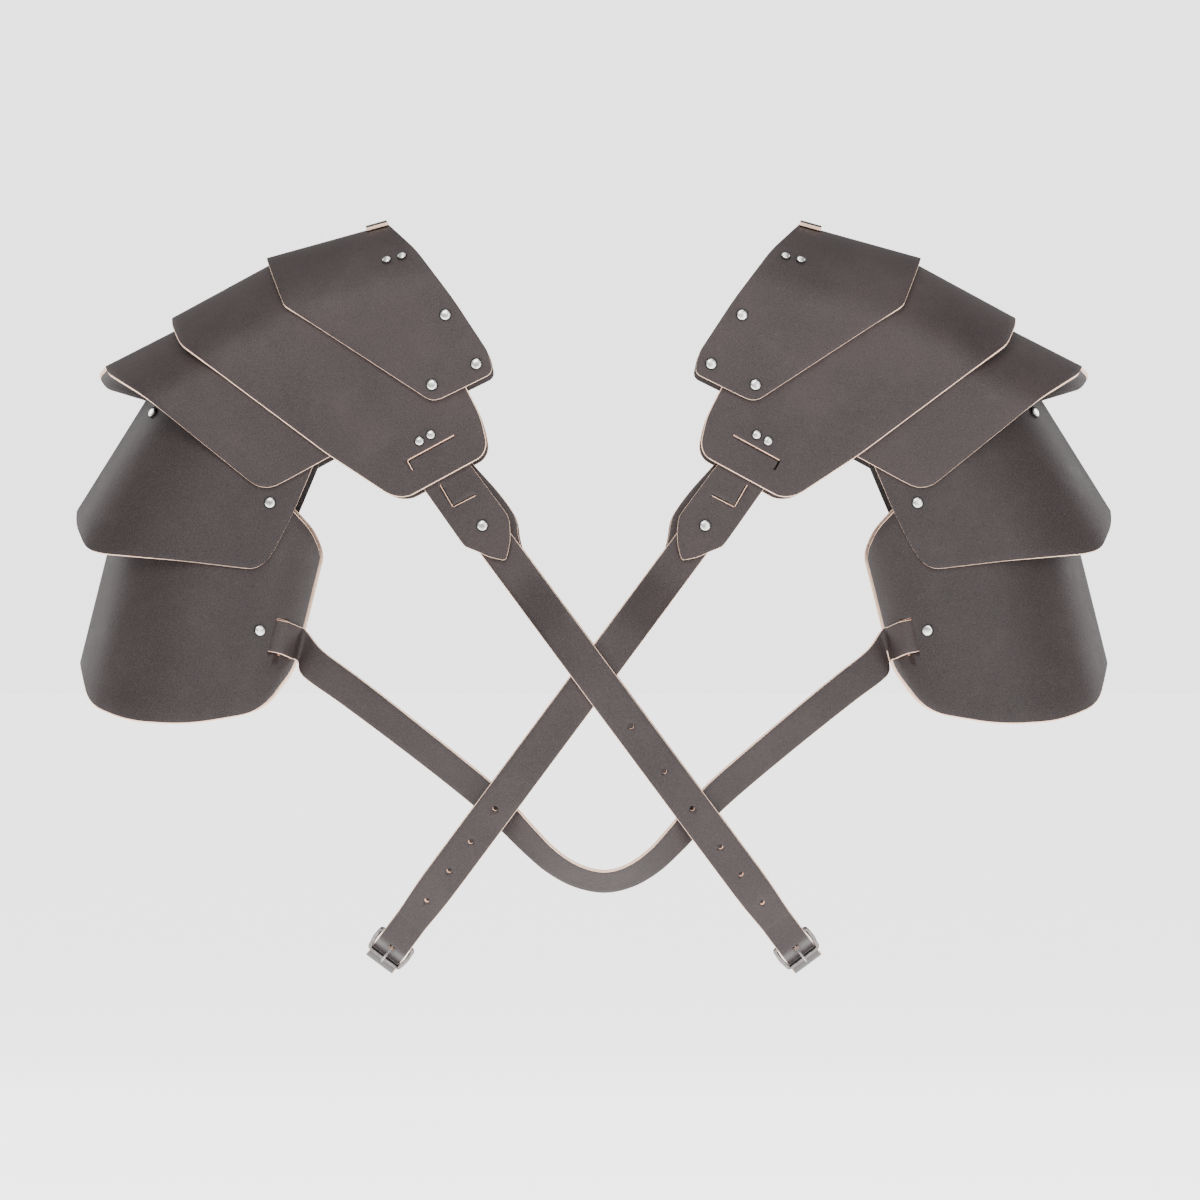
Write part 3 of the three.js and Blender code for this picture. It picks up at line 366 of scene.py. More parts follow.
class Shade:
    """A material's node tree around one Principled shader."""

    def __init__(self, name: str):
        self.material = bpy.data.materials.new(name)
        self.material.use_nodes = True
        self.tree = self.material.node_tree
        self.shader = self.tree.nodes["Principled BSDF"]

    def node(self, kind: str, *values, output: int | str = 0, **settings) -> Signal:
        """Adds a node.

        Args:
            kind: the node's type name.
            values: what goes into its sockets, in order; None leaves a socket alone.
            output: the socket that the result is read from.
            settings: attributes of the node, or sockets by name.

        Returns:
            The node's output as a signal.
        """
        made = self.tree.nodes.new(kind)
        for key, value in settings.items():
            if hasattr(made, key):
                setattr(made, key, value)
            else:
                self.feed(made.inputs[key.replace("_", " ").title()], value)
        for socket, value in zip(made.inputs, values):
            if value is not None:
                self.feed(socket, value)
        return Signal(self, made.outputs[output])

    def feed(self, socket, value) -> None:
        """Links a signal to a socket, or sets a plain value on it."""
        if isinstance(value, Signal):
            self.tree.links.new(value.socket, socket)
        else:
            socket.default_value = value

    def place(self) -> Signal:
        """Returns the object's own coordinates."""
        return self.node("ShaderNodeTexCoord", output="Object")

    def noise(self, scale: float, detail: float = 2.0) -> Signal:
        """Returns soft noise on the object's own coordinates."""
        return self.node("ShaderNodeTexNoise", self.place(), scale=scale, detail=detail)

    def mix(self, share, first, second) -> Signal:
        """Returns the blend of two colours."""
        made = self.tree.nodes.new("ShaderNodeMix")
        made.data_type = "RGBA"
        self.feed(made.inputs[0], share)
        self.feed(made.inputs[6], first)
        self.feed(made.inputs[7], second)
        return Signal(self, made.outputs[2])

    def bump(self, height: Signal, distance: float, strength: float = 1.0) -> None:
        """Raises the surface by a height, in metres."""
        made = self.tree.nodes.new("ShaderNodeBump")
        self.feed(made.inputs["Height"], height)
        made.inputs["Distance"].default_value = distance
        made.inputs["Strength"].default_value = strength
        self.tree.links.new(made.outputs["Normal"], self.shader.inputs["Normal"])

    def set(self, **values) -> "Shade":
        """Feeds the shader's own sockets by name."""
        for key, value in values.items():
            self.feed(self.shader.inputs[key.replace("_", " ").title().replace("Ior", "IOR")], value)
        return self


@dataclass(frozen=True)
class LeatherFinish:
    """Dark polished leather: a fine pebble, faint mottling and a soft sheen."""

    name: str = "leather"
    dark: tuple = (0.0105, 0.0062, 0.006, 1)
    light: tuple = (0.022, 0.0142, 0.0138, 1)
    roughness: float = 0.5
    pebble: float = 620.0

    def make(self) -> Material:
        """Returns the finish as a material."""
        shade = Shade(self.name)
        mottle = shade.noise(22, 4)
        pebble = shade.node("ShaderNodeTexVoronoi", shade.place(), scale=self.pebble, feature="SMOOTH_F1")
        grain = shade.noise(1500, 3)
        wear = shade.noise(60, 5).between(0.52, 0.8)
        tone = shade.mix(mottle.between(0.3, 0.72), self.dark, self.light)
        tone = shade.mix((grain.between(0.35, 0.7)) * 0.4, tone, (0.07, 0.05, 0.05, 1))
        shade.set(base_color=shade.mix(wear * 0.2, tone, (0.042, 0.03, 0.029, 1)))
        shade.set(roughness=self.roughness + mottle * 0.12 - wear * 0.06)
        shade.set(specular_ior_level=0.32, coat_weight=0.03, coat_roughness=0.4)
        shade.bump(pebble * 0.6 + grain * 0.5 + mottle * 0.3, 0.00022, 0.5)
        return shade.material


@dataclass(frozen=True)
class RawEdgeFinish:
    """The pale cut edge of the leather, fibrous."""

    name: str = "raw_edge"
    pale: tuple = (0.84, 0.57, 0.42, 1)
    deep: tuple = (0.5, 0.3, 0.21, 1)

    def make(self) -> Material:
        """Returns the finish as a material."""
        shade = Shade(self.name)
        fibre = shade.noise(900, 4)
        patch = shade.noise(45, 3)
        tone = shade.mix(fibre.between(0.3, 0.75), self.deep, self.pale)
        shade.set(base_color=shade.mix(patch.between(0.25, 0.5), tone, self.pale))
        shade.set(roughness=0.78 + fibre * 0.15)
        shade.bump(fibre, 0.0002, 0.4)
        return shade.material


@dataclass(frozen=True)
class MetalFinish:
    """Metal with fine scratches and a little grime."""

    name: str
    bright: tuple
    dull: tuple
    roughness: float

    def make(self) -> Material:
        """Returns the finish as a material."""
        shade = Shade(self.name)
        grime = shade.noise(260, 4)
        scratch = shade.node("ShaderNodeTexWave", shade.place(), scale=300.0, distortion=9.0)
        shade.set(base_color=shade.mix(grime.between(0.5, 0.75), self.bright, self.dull))
        shade.set(metallic=1.0, roughness=self.roughness + grime * 0.14 + scratch * 0.05)
        shade.bump(scratch * 0.2 + grime * 0.5, 0.00005, 0.4)
        return shade.material


def field_of(finish) -> Material:
    """Returns a field that holds a finish's material."""
    return field(default_factory=finish.make)


@dataclass
class Palette:
    """The finishes in use."""

    leather: Material = field_of(LeatherFinish())
    arm_leather: Material = field_of(
        LeatherFinish("arm_leather", (0.0055, 0.0031, 0.003, 1), (0.0115, 0.007, 0.0068, 1))
    )
    lining: Material = field_of(
        LeatherFinish("lining", (0.014, 0.01, 0.009, 1), (0.026, 0.019, 0.017, 1), 0.7, 400)
    )
    edge: Material = field_of(RawEdgeFinish())
    nickel: Material = field_of(
        MetalFinish("nickel", (0.74, 0.73, 0.72, 1), (0.35, 0.34, 0.33, 1), 0.17)
    )
    # Near-black metal on the rivets' rims: painted shade, so the caps' edges look dark
    rim: Material = field_of(
        MetalFinish("rivet_rim_painted_shade", (0.03, 0.028, 0.027, 1), (0.012, 0.011, 0.01, 1), 0.45)
    )
    steel: Material = field_of(
        MetalFinish("dark_steel", (0.16, 0.145, 0.14, 1), (0.05, 0.045, 0.042, 1), 0.24)
    )


Row = list[Vector]


def curve(a: Vector, b: Vector, c: Vector, d: Vector, t: float) -> Vector:
    """Returns the point at share t between b and c of a smooth curve through all four."""
    bend = (2 * a - 5 * b + 4 * c - d) * t * t
    return 0.5 * (2 * b + (c - a) * t + bend + (3 * b - a - 3 * c + d) * t**3)


def refine(rows: list[Row], steps: int) -> list[Row]:
    """Returns rows on smooth curves through the given rows' ends."""
    fine = []
    for i in range(len(rows) - 1):
        near = [rows[clamp(k, 0, len(rows) - 1)] for k in (i - 1, i, i + 1, i + 2)]
        fine += [[curve(*ends, k / steps) for ends in zip(*near)] for k in range(steps)]
    return fine + [rows[-1]]


def to_metres(flip: bool) -> Matrix:
    """Returns the scale from mm to metres, mirrored to the other side where asked."""
    return Matrix.Diagonal((-MM if flip else MM, MM, MM, 1))


def placed(name: str, data):
    """Returns a new object in the scene with the given data."""
    made = bpy.data.objects.new(name, data)
    bpy.context.collection.objects.link(made)
    return made


def placed_mesh(name: str, mesh: BMesh):
    """Returns a new object in the scene with a mesh that isn't needed any more."""
    data = bpy.data.meshes.new(name)
    mesh.to_mesh(data)
    mesh.free()
    return placed(name, data)


def modify(piece, name: str, kind: str, **settings) -> None:
    """Puts a modifier on a piece."""
    made = piece.modifiers.new(name, kind)
    for key, value in settings.items():
        setattr(made, key, value)


@dataclass
class Workshop:
    """Makes pieces from meshes and puts them on the frame."""

    palette: Palette

    def finish(self, mesh: BMesh, node: str, materials: list, slot: str, flip: bool):
        """Turns a mesh in mm into a piece that stands for a node, mirrored where asked, and returns it."""
        bmesh.ops.transform(mesh, matrix=to_metres(flip), verts=mesh.verts)
        if flip:
            bmesh.ops.reverse_faces(mesh, faces=mesh.faces)
        for face in mesh.faces:
            face.smooth = True
        name = node + ("_leather" if slot == "leather" else "_metal")
        piece = placed_mesh(name, mesh)
        for material in materials:
            piece.data.materials.append(material)
        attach(piece, "root")
        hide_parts(node)
        LOG.info("piece %s: %d faces", name, len(piece.data.polygons))
        return piece

    def sheet(self, rows: list[Row], outward: Vector, node: str, thickness: float, columns: int,
              flip: bool, bevel: float, cutters: tuple = (), probe: int = -1):
        """Makes a leather sheet from rows on its outer face and returns it.

        Args:
            rows: the two ends of each straight row.
            outward: the direction that the sheet faces at the probed row.
            node: the CAD node it replaces.
            thickness: the leather's thickness in mm.
            columns: faces across a row.
            flip: whether to mirror it to the other side.
            bevel: width of the skived raw edge in mm.
            cutters: meshes in mm that cut holes.
            probe: the row at which the direction holds, the middle one unless given.
        """
        mesh = bmesh.new()
        count = len(rows) - 1
        bmesh.ops.create_grid(mesh, x_segments=columns, y_segments=count, size=0.5)
        for vert in mesh.verts:
            j = round((vert.co.y + 0.5) * count)
            share = vert.co.x + 0.5
            vert.co = rows[j][0].lerp(rows[j][-1], share)
        mesh.normal_update()
        row = rows[probe if probe >= 0 else count // 2]
        centre = row[0].lerp(row[-1], 0.5)
        face = min(mesh.faces, key=lambda f: (f.calc_center_median() - centre).length)
        if face.normal.dot(outward) < 0:
            bmesh.ops.reverse_faces(mesh, faces=mesh.faces)
        palette = self.palette
        leather = palette.arm_leather if "arm_plate" in node else palette.leather
        piece = self.finish(mesh, node, [leather, palette.edge], "leather", flip)
        modify(piece, "Thickness", "SOLIDIFY", thickness=thickness * MM, offset=-1, use_even_offset=True,
               material_offset_rim=1)
        modify(piece, "Edge", "BEVEL", width=bevel * MM, segments=2, limit_method="ANGLE",
               angle_limit=math.radians(50), material=1, use_clamp_overlap=True)
        if cutters:
            self.carve(piece, cutters, flip)
        return piece

    def carve(self, piece, cutters: tuple, flip: bool) -> None:
        """Cuts shapes out of a piece and keeps the result in its mesh."""
        tools = []
        for cutter in cutters:
            bmesh.ops.transform(cutter, matrix=to_metres(flip), verts=cutter.verts)
            bmesh.ops.recalc_face_normals(cutter, faces=cutter.faces)
            for face in cutter.faces:
                face.material_index = 1
            tools.append(placed_mesh("tool", cutter))
            modify(piece, "Cut", "BOOLEAN", operation="DIFFERENCE", solver="EXACT", object=tools[-1])
        bpy.context.view_layer.update()
        shown = piece.evaluated_get(bpy.context.evaluated_depsgraph_get())
        kept = bpy.data.meshes.new_from_object(shown)
        piece.modifiers.clear()
        piece.data = kept
        for tool in tools:
            bpy.data.objects.remove(tool)

    def sweep(self, points: list[Vector], radius: float, node: str, flip: bool, closed: bool = False):
        """Makes a smooth steel wire along points, its ends narrowed when it is open."""
        mesh = bmesh.new()
        rings = []
        count = len(points)
        up = None
        for i, point in enumerate(points):
            before = points[(i - 1) % count] if closed or i else point
            after = points[(i + 1) % count] if closed or i < count - 1 else point
            onward = (after - before).normalized()
            up = (onward.orthogonal() if up is None else up - onward * up.dot(onward)).normalized()
            narrow = not closed and i in (0, count - 1)
            basis = Matrix((onward.cross(up), up, onward)).transposed().to_4x4()
            place = Matrix.Translation(point) @ basis @ Matrix.Scale(radius * (WIRE_END if narrow else 1), 4)
            made = bmesh.ops.create_circle(mesh, segments=WIRE_SIDES, radius=1, matrix=place)
            rings.append(made["verts"])
        for first, second in zip(rings, rings[1:] + (rings[:1] if closed else [])):
            for a in range(WIRE_SIDES):
                b = (a + 1) % WIRE_SIDES
                mesh.faces.new((first[a], first[b], second[b], second[a]))
        if not closed:
            mesh.faces.new(list(reversed(rings[0])))
            mesh.faces.new(rings[-1])
        bmesh.ops.recalc_face_normals(mesh, faces=mesh.faces)
        return self.finish(mesh, node, [self.palette.steel], "buckle_steel", flip)


@dataclass
class OneSide:
    """What one side is made with: the workshop, the side's name and whether it is mirrored."""

    shop: Workshop
    side: str
    flip: bool


class Plates(OneSide):
    """The bent plates of one side."""

    def rows(self, plate: Plate, lift: float = 0.0) -> list[Row]:
        """Returns the plate's rows from the deepest at the back to the deepest at the front."""
        made = []
        for face in (Face.BACK, Face.FRONT):
            points = plate.outline(face)
            half = []
            for drop in self.drops(plate, points):
                ends = [plate.surface(along, drop, face) for along in reach_at(points, drop)]
                half.append([end.point + end.normal * lift for end in ends])
            made += half[:0:-1] if face is Face.BACK else half
        return made

    def drops(self, plate: Plate, points: list[Vector]) -> list[float]:
        """Returns the drops at which one half has rows: at the outline's own points and in even steps."""
        shape = plate.shape
        deepest = max(point.y for point in points)
        last = deepest - ROW_STOP
        crown, shoulder = (
            [math.cos(math.radians(turn)) for turn in range(first, end, ROW_TURN)]
            for first, end in ((ROW_TURN, int(shape.crown_turn)), (int(shape.crown_turn), 90))
        )
        flap = int(max(0.0, deepest - shape.flap_drop) / ROW_STEP)
        wanted = [point.y for point in points]
        wanted += [shape.crown_radius * (1 - cosine) for cosine in crown]
        wanted += [
            shape.crown_drop + shape.shoulder_radius * (math.cos(shape.turn) - cosine) for cosine in shoulder
        ]
        wanted += [shape.flap_drop + ROW_STEP * k for k in range(flap)]
        kept = [0.0]
        for drop in sorted(d for d in wanted if 0 < d < last):
            if shape.girth(drop) - shape.girth(kept[-1]) >= ROW_LEAST and last - drop >= ROW_LAST:
                kept.append(drop)
        return kept + [last]

    def make(self, plate: Plate, name: str, lift: float = 0.0, thickness: float = PLATE_THICKNESS,
             bevel: float = 0.8, cutters: tuple = ()):
        """Makes one plate, lifted over its shape's own surface where asked; sizes are in mm."""
        rows = self.rows(plate, lift)
        slope = math.radians(plate.slope)
        ridge = min(range(len(rows)), key=lambda i: abs(rows[i][0].y))
        facing = Vector((math.sin(slope), 0, math.cos(slope)))
        self.shop.sheet(rows, facing, f"{self.side}_{name}", thickness, PLATE_COLUMNS, self.flip, bevel,
                        cutters, ridge)


BELT_RUN = Vector((-math.cos(BELT_SLOPE), 0, -math.sin(BELT_SLOPE)))
BELT_SIDE = Vector((-math.sin(BELT_SLOPE), 0, math.cos(BELT_SLOPE)))


def belt_point(along: float, across: float, depth: float) -> Vector:
    """Returns a point of the belt frame: along from the tab rivet, across to the neck, depth to the front."""
    return TAB_RIVET + BELT_RUN * along + BELT_SIDE * across - Vector((0, depth, 0))


BELT_CENTRE = TAB_RIVET.x / math.cos(BELT_SLOPE)
LOOP_REACH = LOOP_HALF_WIDTH / math.cos(BELT_SLOPE)
LEAVE_START, LEAVE_END = TAB_POINT - 1, 104.0
CROSSING_SPAN = 34.0
CROSSING_LIFT = BELT_THICKNESS + 3 * CLEARANCE
BUCKLE_ALONG = BELT_CENTRE + LOOP_REACH * math.sin(BUCKLE_TURN)
BUCKLE_TILT = math.atan2(LOOP_HALF_DEPTH * math.sin(BUCKLE_TURN), LOOP_REACH * math.cos(BUCKLE_TURN))
FOLD_RADIUS = BUCKLE_WIRE + RIVET_SEAT + THIN_THICKNESS
FLANK_START, FLANK_END = 0.75, 0.5
FLANK_ROWS, FLANK_INSET = 9, 5.5
BELT_STEPS = 17


def flap_depth(along: float, across: float, under: float) -> float:
    """Returns the depth of a layer under the shoulder plate's flap."""
    flat = belt_point(along, across, 0)
    return (SHOULDER_FLAP - under) * spread(flat.x, flat.z)


def loop_depth(along: float) -> float:
    """Returns the depth of the belt loop's curve."""
    share = clamp((along - BELT_CENTRE) / LOOP_REACH, -1, 1)
    return LOOP_HALF_DEPTH * math.sqrt(1 - share * share)


def crossing_lift(along: float, lifted: bool) -> float:
    """Returns how far the upper belt rides over the lower one where they cross."""
    return CROSSING_LIFT * math.exp(-(((along - BELT_CENTRE) / CROSSING_SPAN) ** 2)) if lifted else 0.0


def belt_half_width(along: float) -> float:
    """Returns half the belt's width, less at the buckle."""
    narrow = smoothstep(along, 0.84 * BUCKLE_ALONG, 0.93 * BUCKLE_ALONG)
    return BELT_HALF_WIDTH + (BELT_HALF_NARROW - BELT_HALF_WIDTH) * narrow


def buckle_to_belt(forward: float, outward: float) -> tuple[float, float]:
    """Returns the place along and the depth of a point in the buckle's own frame."""
    lift = outward - BUCKLE_SINK
    return (
        BUCKLE_ALONG + forward * math.cos(BUCKLE_TILT) + lift * math.sin(BUCKLE_TILT),
        loop_depth(BUCKLE_ALONG) - forward * math.sin(BUCKLE_TILT) + lift * math.cos(BUCKLE_TILT),
    )


def buckle_point(forward: float, across: float, outward: float) -> Vector:
    """Returns a point in the buckle's own frame."""
    along, depth = buckle_to_belt(forward, outward)
    return belt_point(along, across, depth)


def belt_row(along: float, depth, half: float) -> Row:
    """Returns the two ends of a belt's row."""
    sides = (-half, half)
    return [belt_point(along, side, depth(along, side) if callable(depth) else depth) for side in sides]


def belt_run(start: float, end: float, depth) -> list[Row]:
    """Returns even rows of a belt between two places along it."""
    places = [start + (end - start) * i / BELT_STEPS for i in range(BELT_STEPS + 1)]
    return [belt_row(along, depth, belt_half_width(along)) for along in places]


@dataclass(frozen=True)
class Step:
    """A step of a route in the buckle's frame, as shares of the buckle's reach."""

    forward: float
    outward: float


@dataclass(frozen=True)
class TabRow:
    """A row of the folded tab, as shares of its point and of its half width."""

    along: float
    low: float
    high: float


@dataclass(frozen=True)
class JoinRow:
    """A row of the joining strap: place along its span, height, depth and lean in degrees."""

    x: float
    z: float
    depth: float
    lean: float


@dataclass(frozen=True)
class JoinEnd:
    """A row of the joining strap's end at the lower arm plate."""

    drop: float
    height: float
    shift: float = 0.0


CHEST_BUCKLE = table(
    Step,
    (-2.5, -0.2), (-1.95, 0.09), (-1.4, 0.35), (-1, 0.469), (-0.55, 0.385), (0, 0.172),
    (0.55, -0.04), (1, -0.131), (1.5, -0.195), (2.1, -0.345), (2.6, -0.54), (3.05, -0.8),
)
BACK_BUCKLE = table(
    Step,
    (-0.55, -0.31), (0, -0.375), (0.55, -0.44), (1, -0.478), (1.45, -0.555), (1.99, -0.71),
    (2.43, -0.885), (2.85, -1.135),
)
TONGUE = table(
    Step,
    (-1.03, 0.17), (-0.93, 0.33), (-0.78, 0.52), (-0.55, 0.66), (-0.25, 0.69), (0.1, 0.61),
    (0.45, 0.46), (0.8, 0.295), (1.12, 0.245),
)
TAB_FRONT = table(
    TabRow,
    (0.98, -0.12, -0.02), (0.9, -0.24, 0.16), (0.7, -0.5, 0.5), (0.45, -0.72, 0.79),
    (0.24, -0.92, 0.97), (0.08, -1.01, 1.02), (-0.5, -1, 1.02), (-1.3, -0.97, 1.02),
    (-2.2, -0.95, 1),
)
TAB_BACK = table(
    TabRow,
    (-2.2, -0.95, 1), (-1.3, -0.96, 1.12), (-0.5, -0.9, 1.24), (0.1, -0.86, 1.24),
    (0.42, -0.7, 1.13), (0.72, -0.4, 0.88), (0.95, 0.1, 0.72),
)
JOIN = table(
    JoinRow,
    (0.893, -283.5, 59, 4), (0.79, -300, 64, 12), (0.68, -318, 70, 18),
    (0.57, -336.5, 76.5, 23), (0.462, -355, 82.5, 26), (0.37, -371.5, 87.5, 28),
    (0.292, -388, 90.4, 36), (0.228, -402.5, 94.2, 42), (0.163, -415.5, 101, 46),
    (0.085, -425.5, 105, 48), (0, -429.5, 107, 49),
)
JOIN_ENDS = table(
    JoinEnd,
    (104.5, -2.8 - JOIN_SINK), (111, -2.8 - JOIN_SINK), (117.5, -2.8 - JOIN_SINK),
    (122, -3.1), (124.6, -1.9), (127.6, 0.7), (130.2, 2.35), (133.5, 2.9, 0.6),
    (137, 3.2, 1.4), (140.5, 3.6, 2.4),
)
BELT_HOLES = {"right": (0.474, 0.593, 0.698, 0.806), "left": (0.18, 0.34, 0.474, 0.612, 0.711, 0.815)}


def strip_facing(rows: list[Row], side: float) -> Vector:
    """Returns the outward direction of a strip at its middle row; the leather lies on the other side."""
    middle = (len(rows) - 1) // 2
    before, here, after = rows[middle - 1:middle + 2]
    onward = after[0] + after[1] - before[0] - before[1]
    return -onward.cross(here[1] - here[0]).normalized() * side


def pin(point: Vector, normal: Vector) -> BMesh:
    """Returns a round tool, in mm, that cuts a belt hole at a place."""
    mesh = bmesh.new()
    turn = normal.to_track_quat("Z", "Y").to_matrix().to_4x4()
    bmesh.ops.create_cone(mesh, cap_ends=True, segments=24, radius1=BELT_HOLE, radius2=BELT_HOLE,
                          depth=TOOL_DEPTH, matrix=Matrix.Translation(point) @ turn)
    return mesh


def block(centre: Vector, x: Vector, z: Vector, size: tuple) -> BMesh:
    """Returns a block, in mm, that cuts a slot."""
    mesh = bmesh.new()
    y = z.cross(x).normalized()
    z = x.cross(y).normalized()
    basis = Matrix((x.normalized(), y, z)).transposed().to_4x4()
    place = Matrix.Translation(centre) @ basis @ Matrix.Diagonal((*size, 1))
    bmesh.ops.create_cube(mesh, size=1, matrix=place)
    return mesh


class Belts(OneSide):
    """The tabs, belts and buckle of one side."""

    def make(self) -> None:
        """Makes every piece of the belt loop."""
        self.belt("chest_strap", self.chest_rows(), BELT_THICKNESS, 1, self.chest_cutters())
        slot = self.tongue_tool(-1.5, -0.72, 1.75, 12.5)
        self.belt("back_strap", self.back_rows(), THIN_THICKNESS, -1, (slot,))
        for face, name in ((Face.FRONT, "chest_tab"), (Face.BACK, "back_tab")):
            rows = refine(self.tab_rows(face), 4)
            cutters = self.tab_slits() if face is Face.FRONT else ()
            self.shop.sheet(rows, strip_facing(rows, -face.value), f"{self.side}_{name}", THIN_THICKNESS,
                            TAB_COLUMNS, self.flip, TAB_EDGE, cutters)
        self.buckle()

    def belt(self, name: str, rows: list[Row], thickness: float, side: float, cutters: tuple) -> None:
        """Makes one belt from its coarse rows."""
        rows = refine(rows, 4)
        self.shop.sheet(rows, strip_facing(rows, side), f"{self.side}_{name}", thickness, STRAP_COLUMNS,
                        self.flip, BELT_EDGE, cutters)

    def chest_depth(self, along: float, across: float, sunk: float = 0.0) -> float:
        """Returns how far out a belt lies: held under the flap at first, then free on the loop."""
        free = smoothstep(along, LEAVE_START, LEAVE_END)
        held = flap_depth(along, across, BELT_UNDER)
        return held * (1 - free) + (loop_depth(along) - sunk) * free + crossing_lift(along, self.flip)

    def back_depth(self, along: float, across: float) -> float:
        """Returns the back belt's depth, on the body's side of the leather."""
        return THIN_THICKNESS - self.chest_depth(along, across, 1.0)

    def chest_rows(self) -> list[Row]:
        """Returns the chest belt's rows from the tab, over the pivot bar, under the outer bar to its tail."""
        first = buckle_to_belt(CHEST_BUCKLE[0].forward * BUCKLE_REACH, 0)[0] - 6
        rows = belt_run(BELT_TOP, first, self.chest_depth)
        for step in CHEST_BUCKLE:
            along, depth = buckle_to_belt(step.forward * BUCKLE_REACH, step.outward * BUCKLE_REACH)
            rows.append(belt_row(along, depth, BELT_HALF_NARROW * (0.6 if step.forward > 3 else 1)))
        return rows

    def back_rows(self) -> list[Row]:
        """Returns the back belt's rows, on the body's side, from its fold round the pivot bar to the tab."""
        rows = []

        def add(forward: float, outward: float) -> None:
            along, depth = buckle_to_belt(forward, outward)
            rows.append(belt_row(along, depth, BELT_HALF_NARROW))

        add(-BUCKLE_REACH + 2.1, FOLD_RADIUS)
        for turn in range(90, 271, 30):
            angle = math.radians(turn)
            add(-BUCKLE_REACH + FOLD_RADIUS * math.cos(angle), FOLD_RADIUS * math.sin(angle))
        for step in BACK_BUCKLE:
            add(step.forward * BUCKLE_REACH, step.outward * BUCKLE_REACH)
        start = BUCKLE_TURN + FLANK_START
        for i in range(FLANK_ROWS + 1):
            share = i / FLANK_ROWS
            turn = start + (math.pi - FLANK_END - start) * share
            inset = THIN_THICKNESS + 1 + FLANK_INSET * (1 - share)
            along = BELT_CENTRE + (LOOP_REACH - inset) * math.sin(turn)
            rows.append(belt_row(along, (LOOP_HALF_DEPTH - inset) * math.cos(turn), belt_half_width(along)))
        last = BELT_CENTRE + LOOP_REACH * math.sin(math.pi - FLANK_END) - 14
        return rows + belt_run(last, BELT_TOP, self.back_depth)

    def tab_rows(self, face: Face) -> list[Row]:
        """Returns the folded tab's rows: up its front layer, round the fold and down its back layer."""

        def outer(along: float, across: float) -> float:
            return flap_depth(along, across, TAB_FRONT_UNDER)

        def inner(along: float, across: float) -> float:
            return flap_depth(along, across, TAB_BACK_UNDER) - THIN_THICKNESS * 1.05

        def row(spec: TabRow, depth) -> Row:
            along = spec.along * TAB_POINT
            places = [side * TAB_HALF_WIDTH for side in (spec.low, spec.high)]
            return [belt_point(along, across, face.value * depth(along, across)) for across in places]

        rows = [row(spec, outer) for spec in TAB_FRONT]
        for i in range(1, 4):
            turn = math.pi * i / 4
            ends = []
            for across in (-0.95 * TAB_HALF_WIDTH, TAB_HALF_WIDTH):
                top = TAB_TOP + 7
                over, under = outer(top, across), inner(top, across)
                radius = (over - under) / 2
                depth = (over + under) / 2 + radius * math.cos(turn)
                ends.append(belt_point(top - radius * math.sin(turn), across, face.value * depth))
            rows.append(ends)
        return rows + [row(spec, inner) for spec in TAB_BACK]

    def chest_cutters(self) -> tuple:
        """Returns the tools for the belt's holes and for the tongue's slot."""
        made = []
        for share in BELT_HOLES[self.side]:
            along = BELT_CENTRE + share * (BUCKLE_ALONG - BELT_CENTRE)
            point = belt_point(along, 0, loop_depth(along))
            onward = belt_point(along + 1, 0, loop_depth(along + 1)) - point
            side = belt_point(along, 1, loop_depth(along)) - point
            made.append(pin(point, onward.cross(side).normalized()))
        return (*made, self.tongue_tool(-1.02, -0.5, 7, TOOL_DEPTH))

    @staticmethod
    def tongue_tool(start: float, end: float, height: float, deep: float) -> BMesh:
        """Returns the tool for the tongue's slot between two shares of the buckle's reach."""
        low, high = (buckle_point(share * BUCKLE_REACH, 0, height) for share in (start, end))
        up = buckle_point(0, 0, 1) - buckle_point(0, 0, 0)
        return block((low + high) / 2, high - low, up, ((high - low).length, TONGUE_WIDTH + 1, deep))

    def tab_slits(self) -> tuple:
        """Returns the tools for the bent slit in the tab."""
        places = []
        for x, z in ((102.0, -164.2), (93.8, -178.4), (79.4, -171.0)):
            away = Vector((x, 0, z)) - TAB_RIVET
            along, across = away.dot(BELT_RUN), away.dot(BELT_SIDE)
            point = belt_point(along, across, flap_depth(along, across, TAB_FRONT_UNDER))
            places.append(Place(point, Vector((0, -1, 0))))
        return Pauldron.slits(places)

    def buckle(self) -> None:
        """Makes the frame's wire and the tongue."""
        side, rounding, bow = BUCKLE_BORE_HALF + BUCKLE_WIRE, 2.4, 0.5
        corners = [
            Vector(c) for c in (
                (-BUCKLE_REACH, -side), (0, -side - bow), (BUCKLE_REACH, -side + 0.8),
                (BUCKLE_REACH, side - 0.8), (0, side + bow), (-BUCKLE_REACH, side),
            )
        ]
        points = []
        for i, here in enumerate(corners):
            before, after = corners[i - 1], corners[(i + 1) % len(corners)]
            start = here + (before - here).normalized() * rounding
            end = here + (after - here).normalized() * rounding
            for k in range(7):
                t = k / 6
                flat = start * (1 - t) ** 2 + here * 2 * t * (1 - t) + end * t * t
                points.append(buckle_point(flat.x, flat.y, 0))
            stop = after + (here - after).normalized() * rounding
            points += [buckle_point(*end.lerp(stop, k / 4), 0) for k in range(1, 4)]
        self.shop.sweep(points, BUCKLE_WIRE, f"{self.side}_buckle_frame", self.flip, closed=True)
        half = TONGUE_THICKNESS / 2
        reach = BUCKLE_REACH
        route = [[buckle_point(step.forward * reach, 0, step.outward * reach - half)] for step in TONGUE]
        spine = [row[0] for row in refine(route, 4)]
        ring = [
            buckle_point(-BUCKLE_REACH + TONGUE_RING * math.cos(turn), 0, TONGUE_RING * math.sin(turn))
            for turn in (math.radians(degrees) for degrees in range(100, 400, 20))
        ]
        self.shop.sweep(ring[::-1] + spine, half * 0.92, f"{self.side}_buckle_tongue", self.flip)


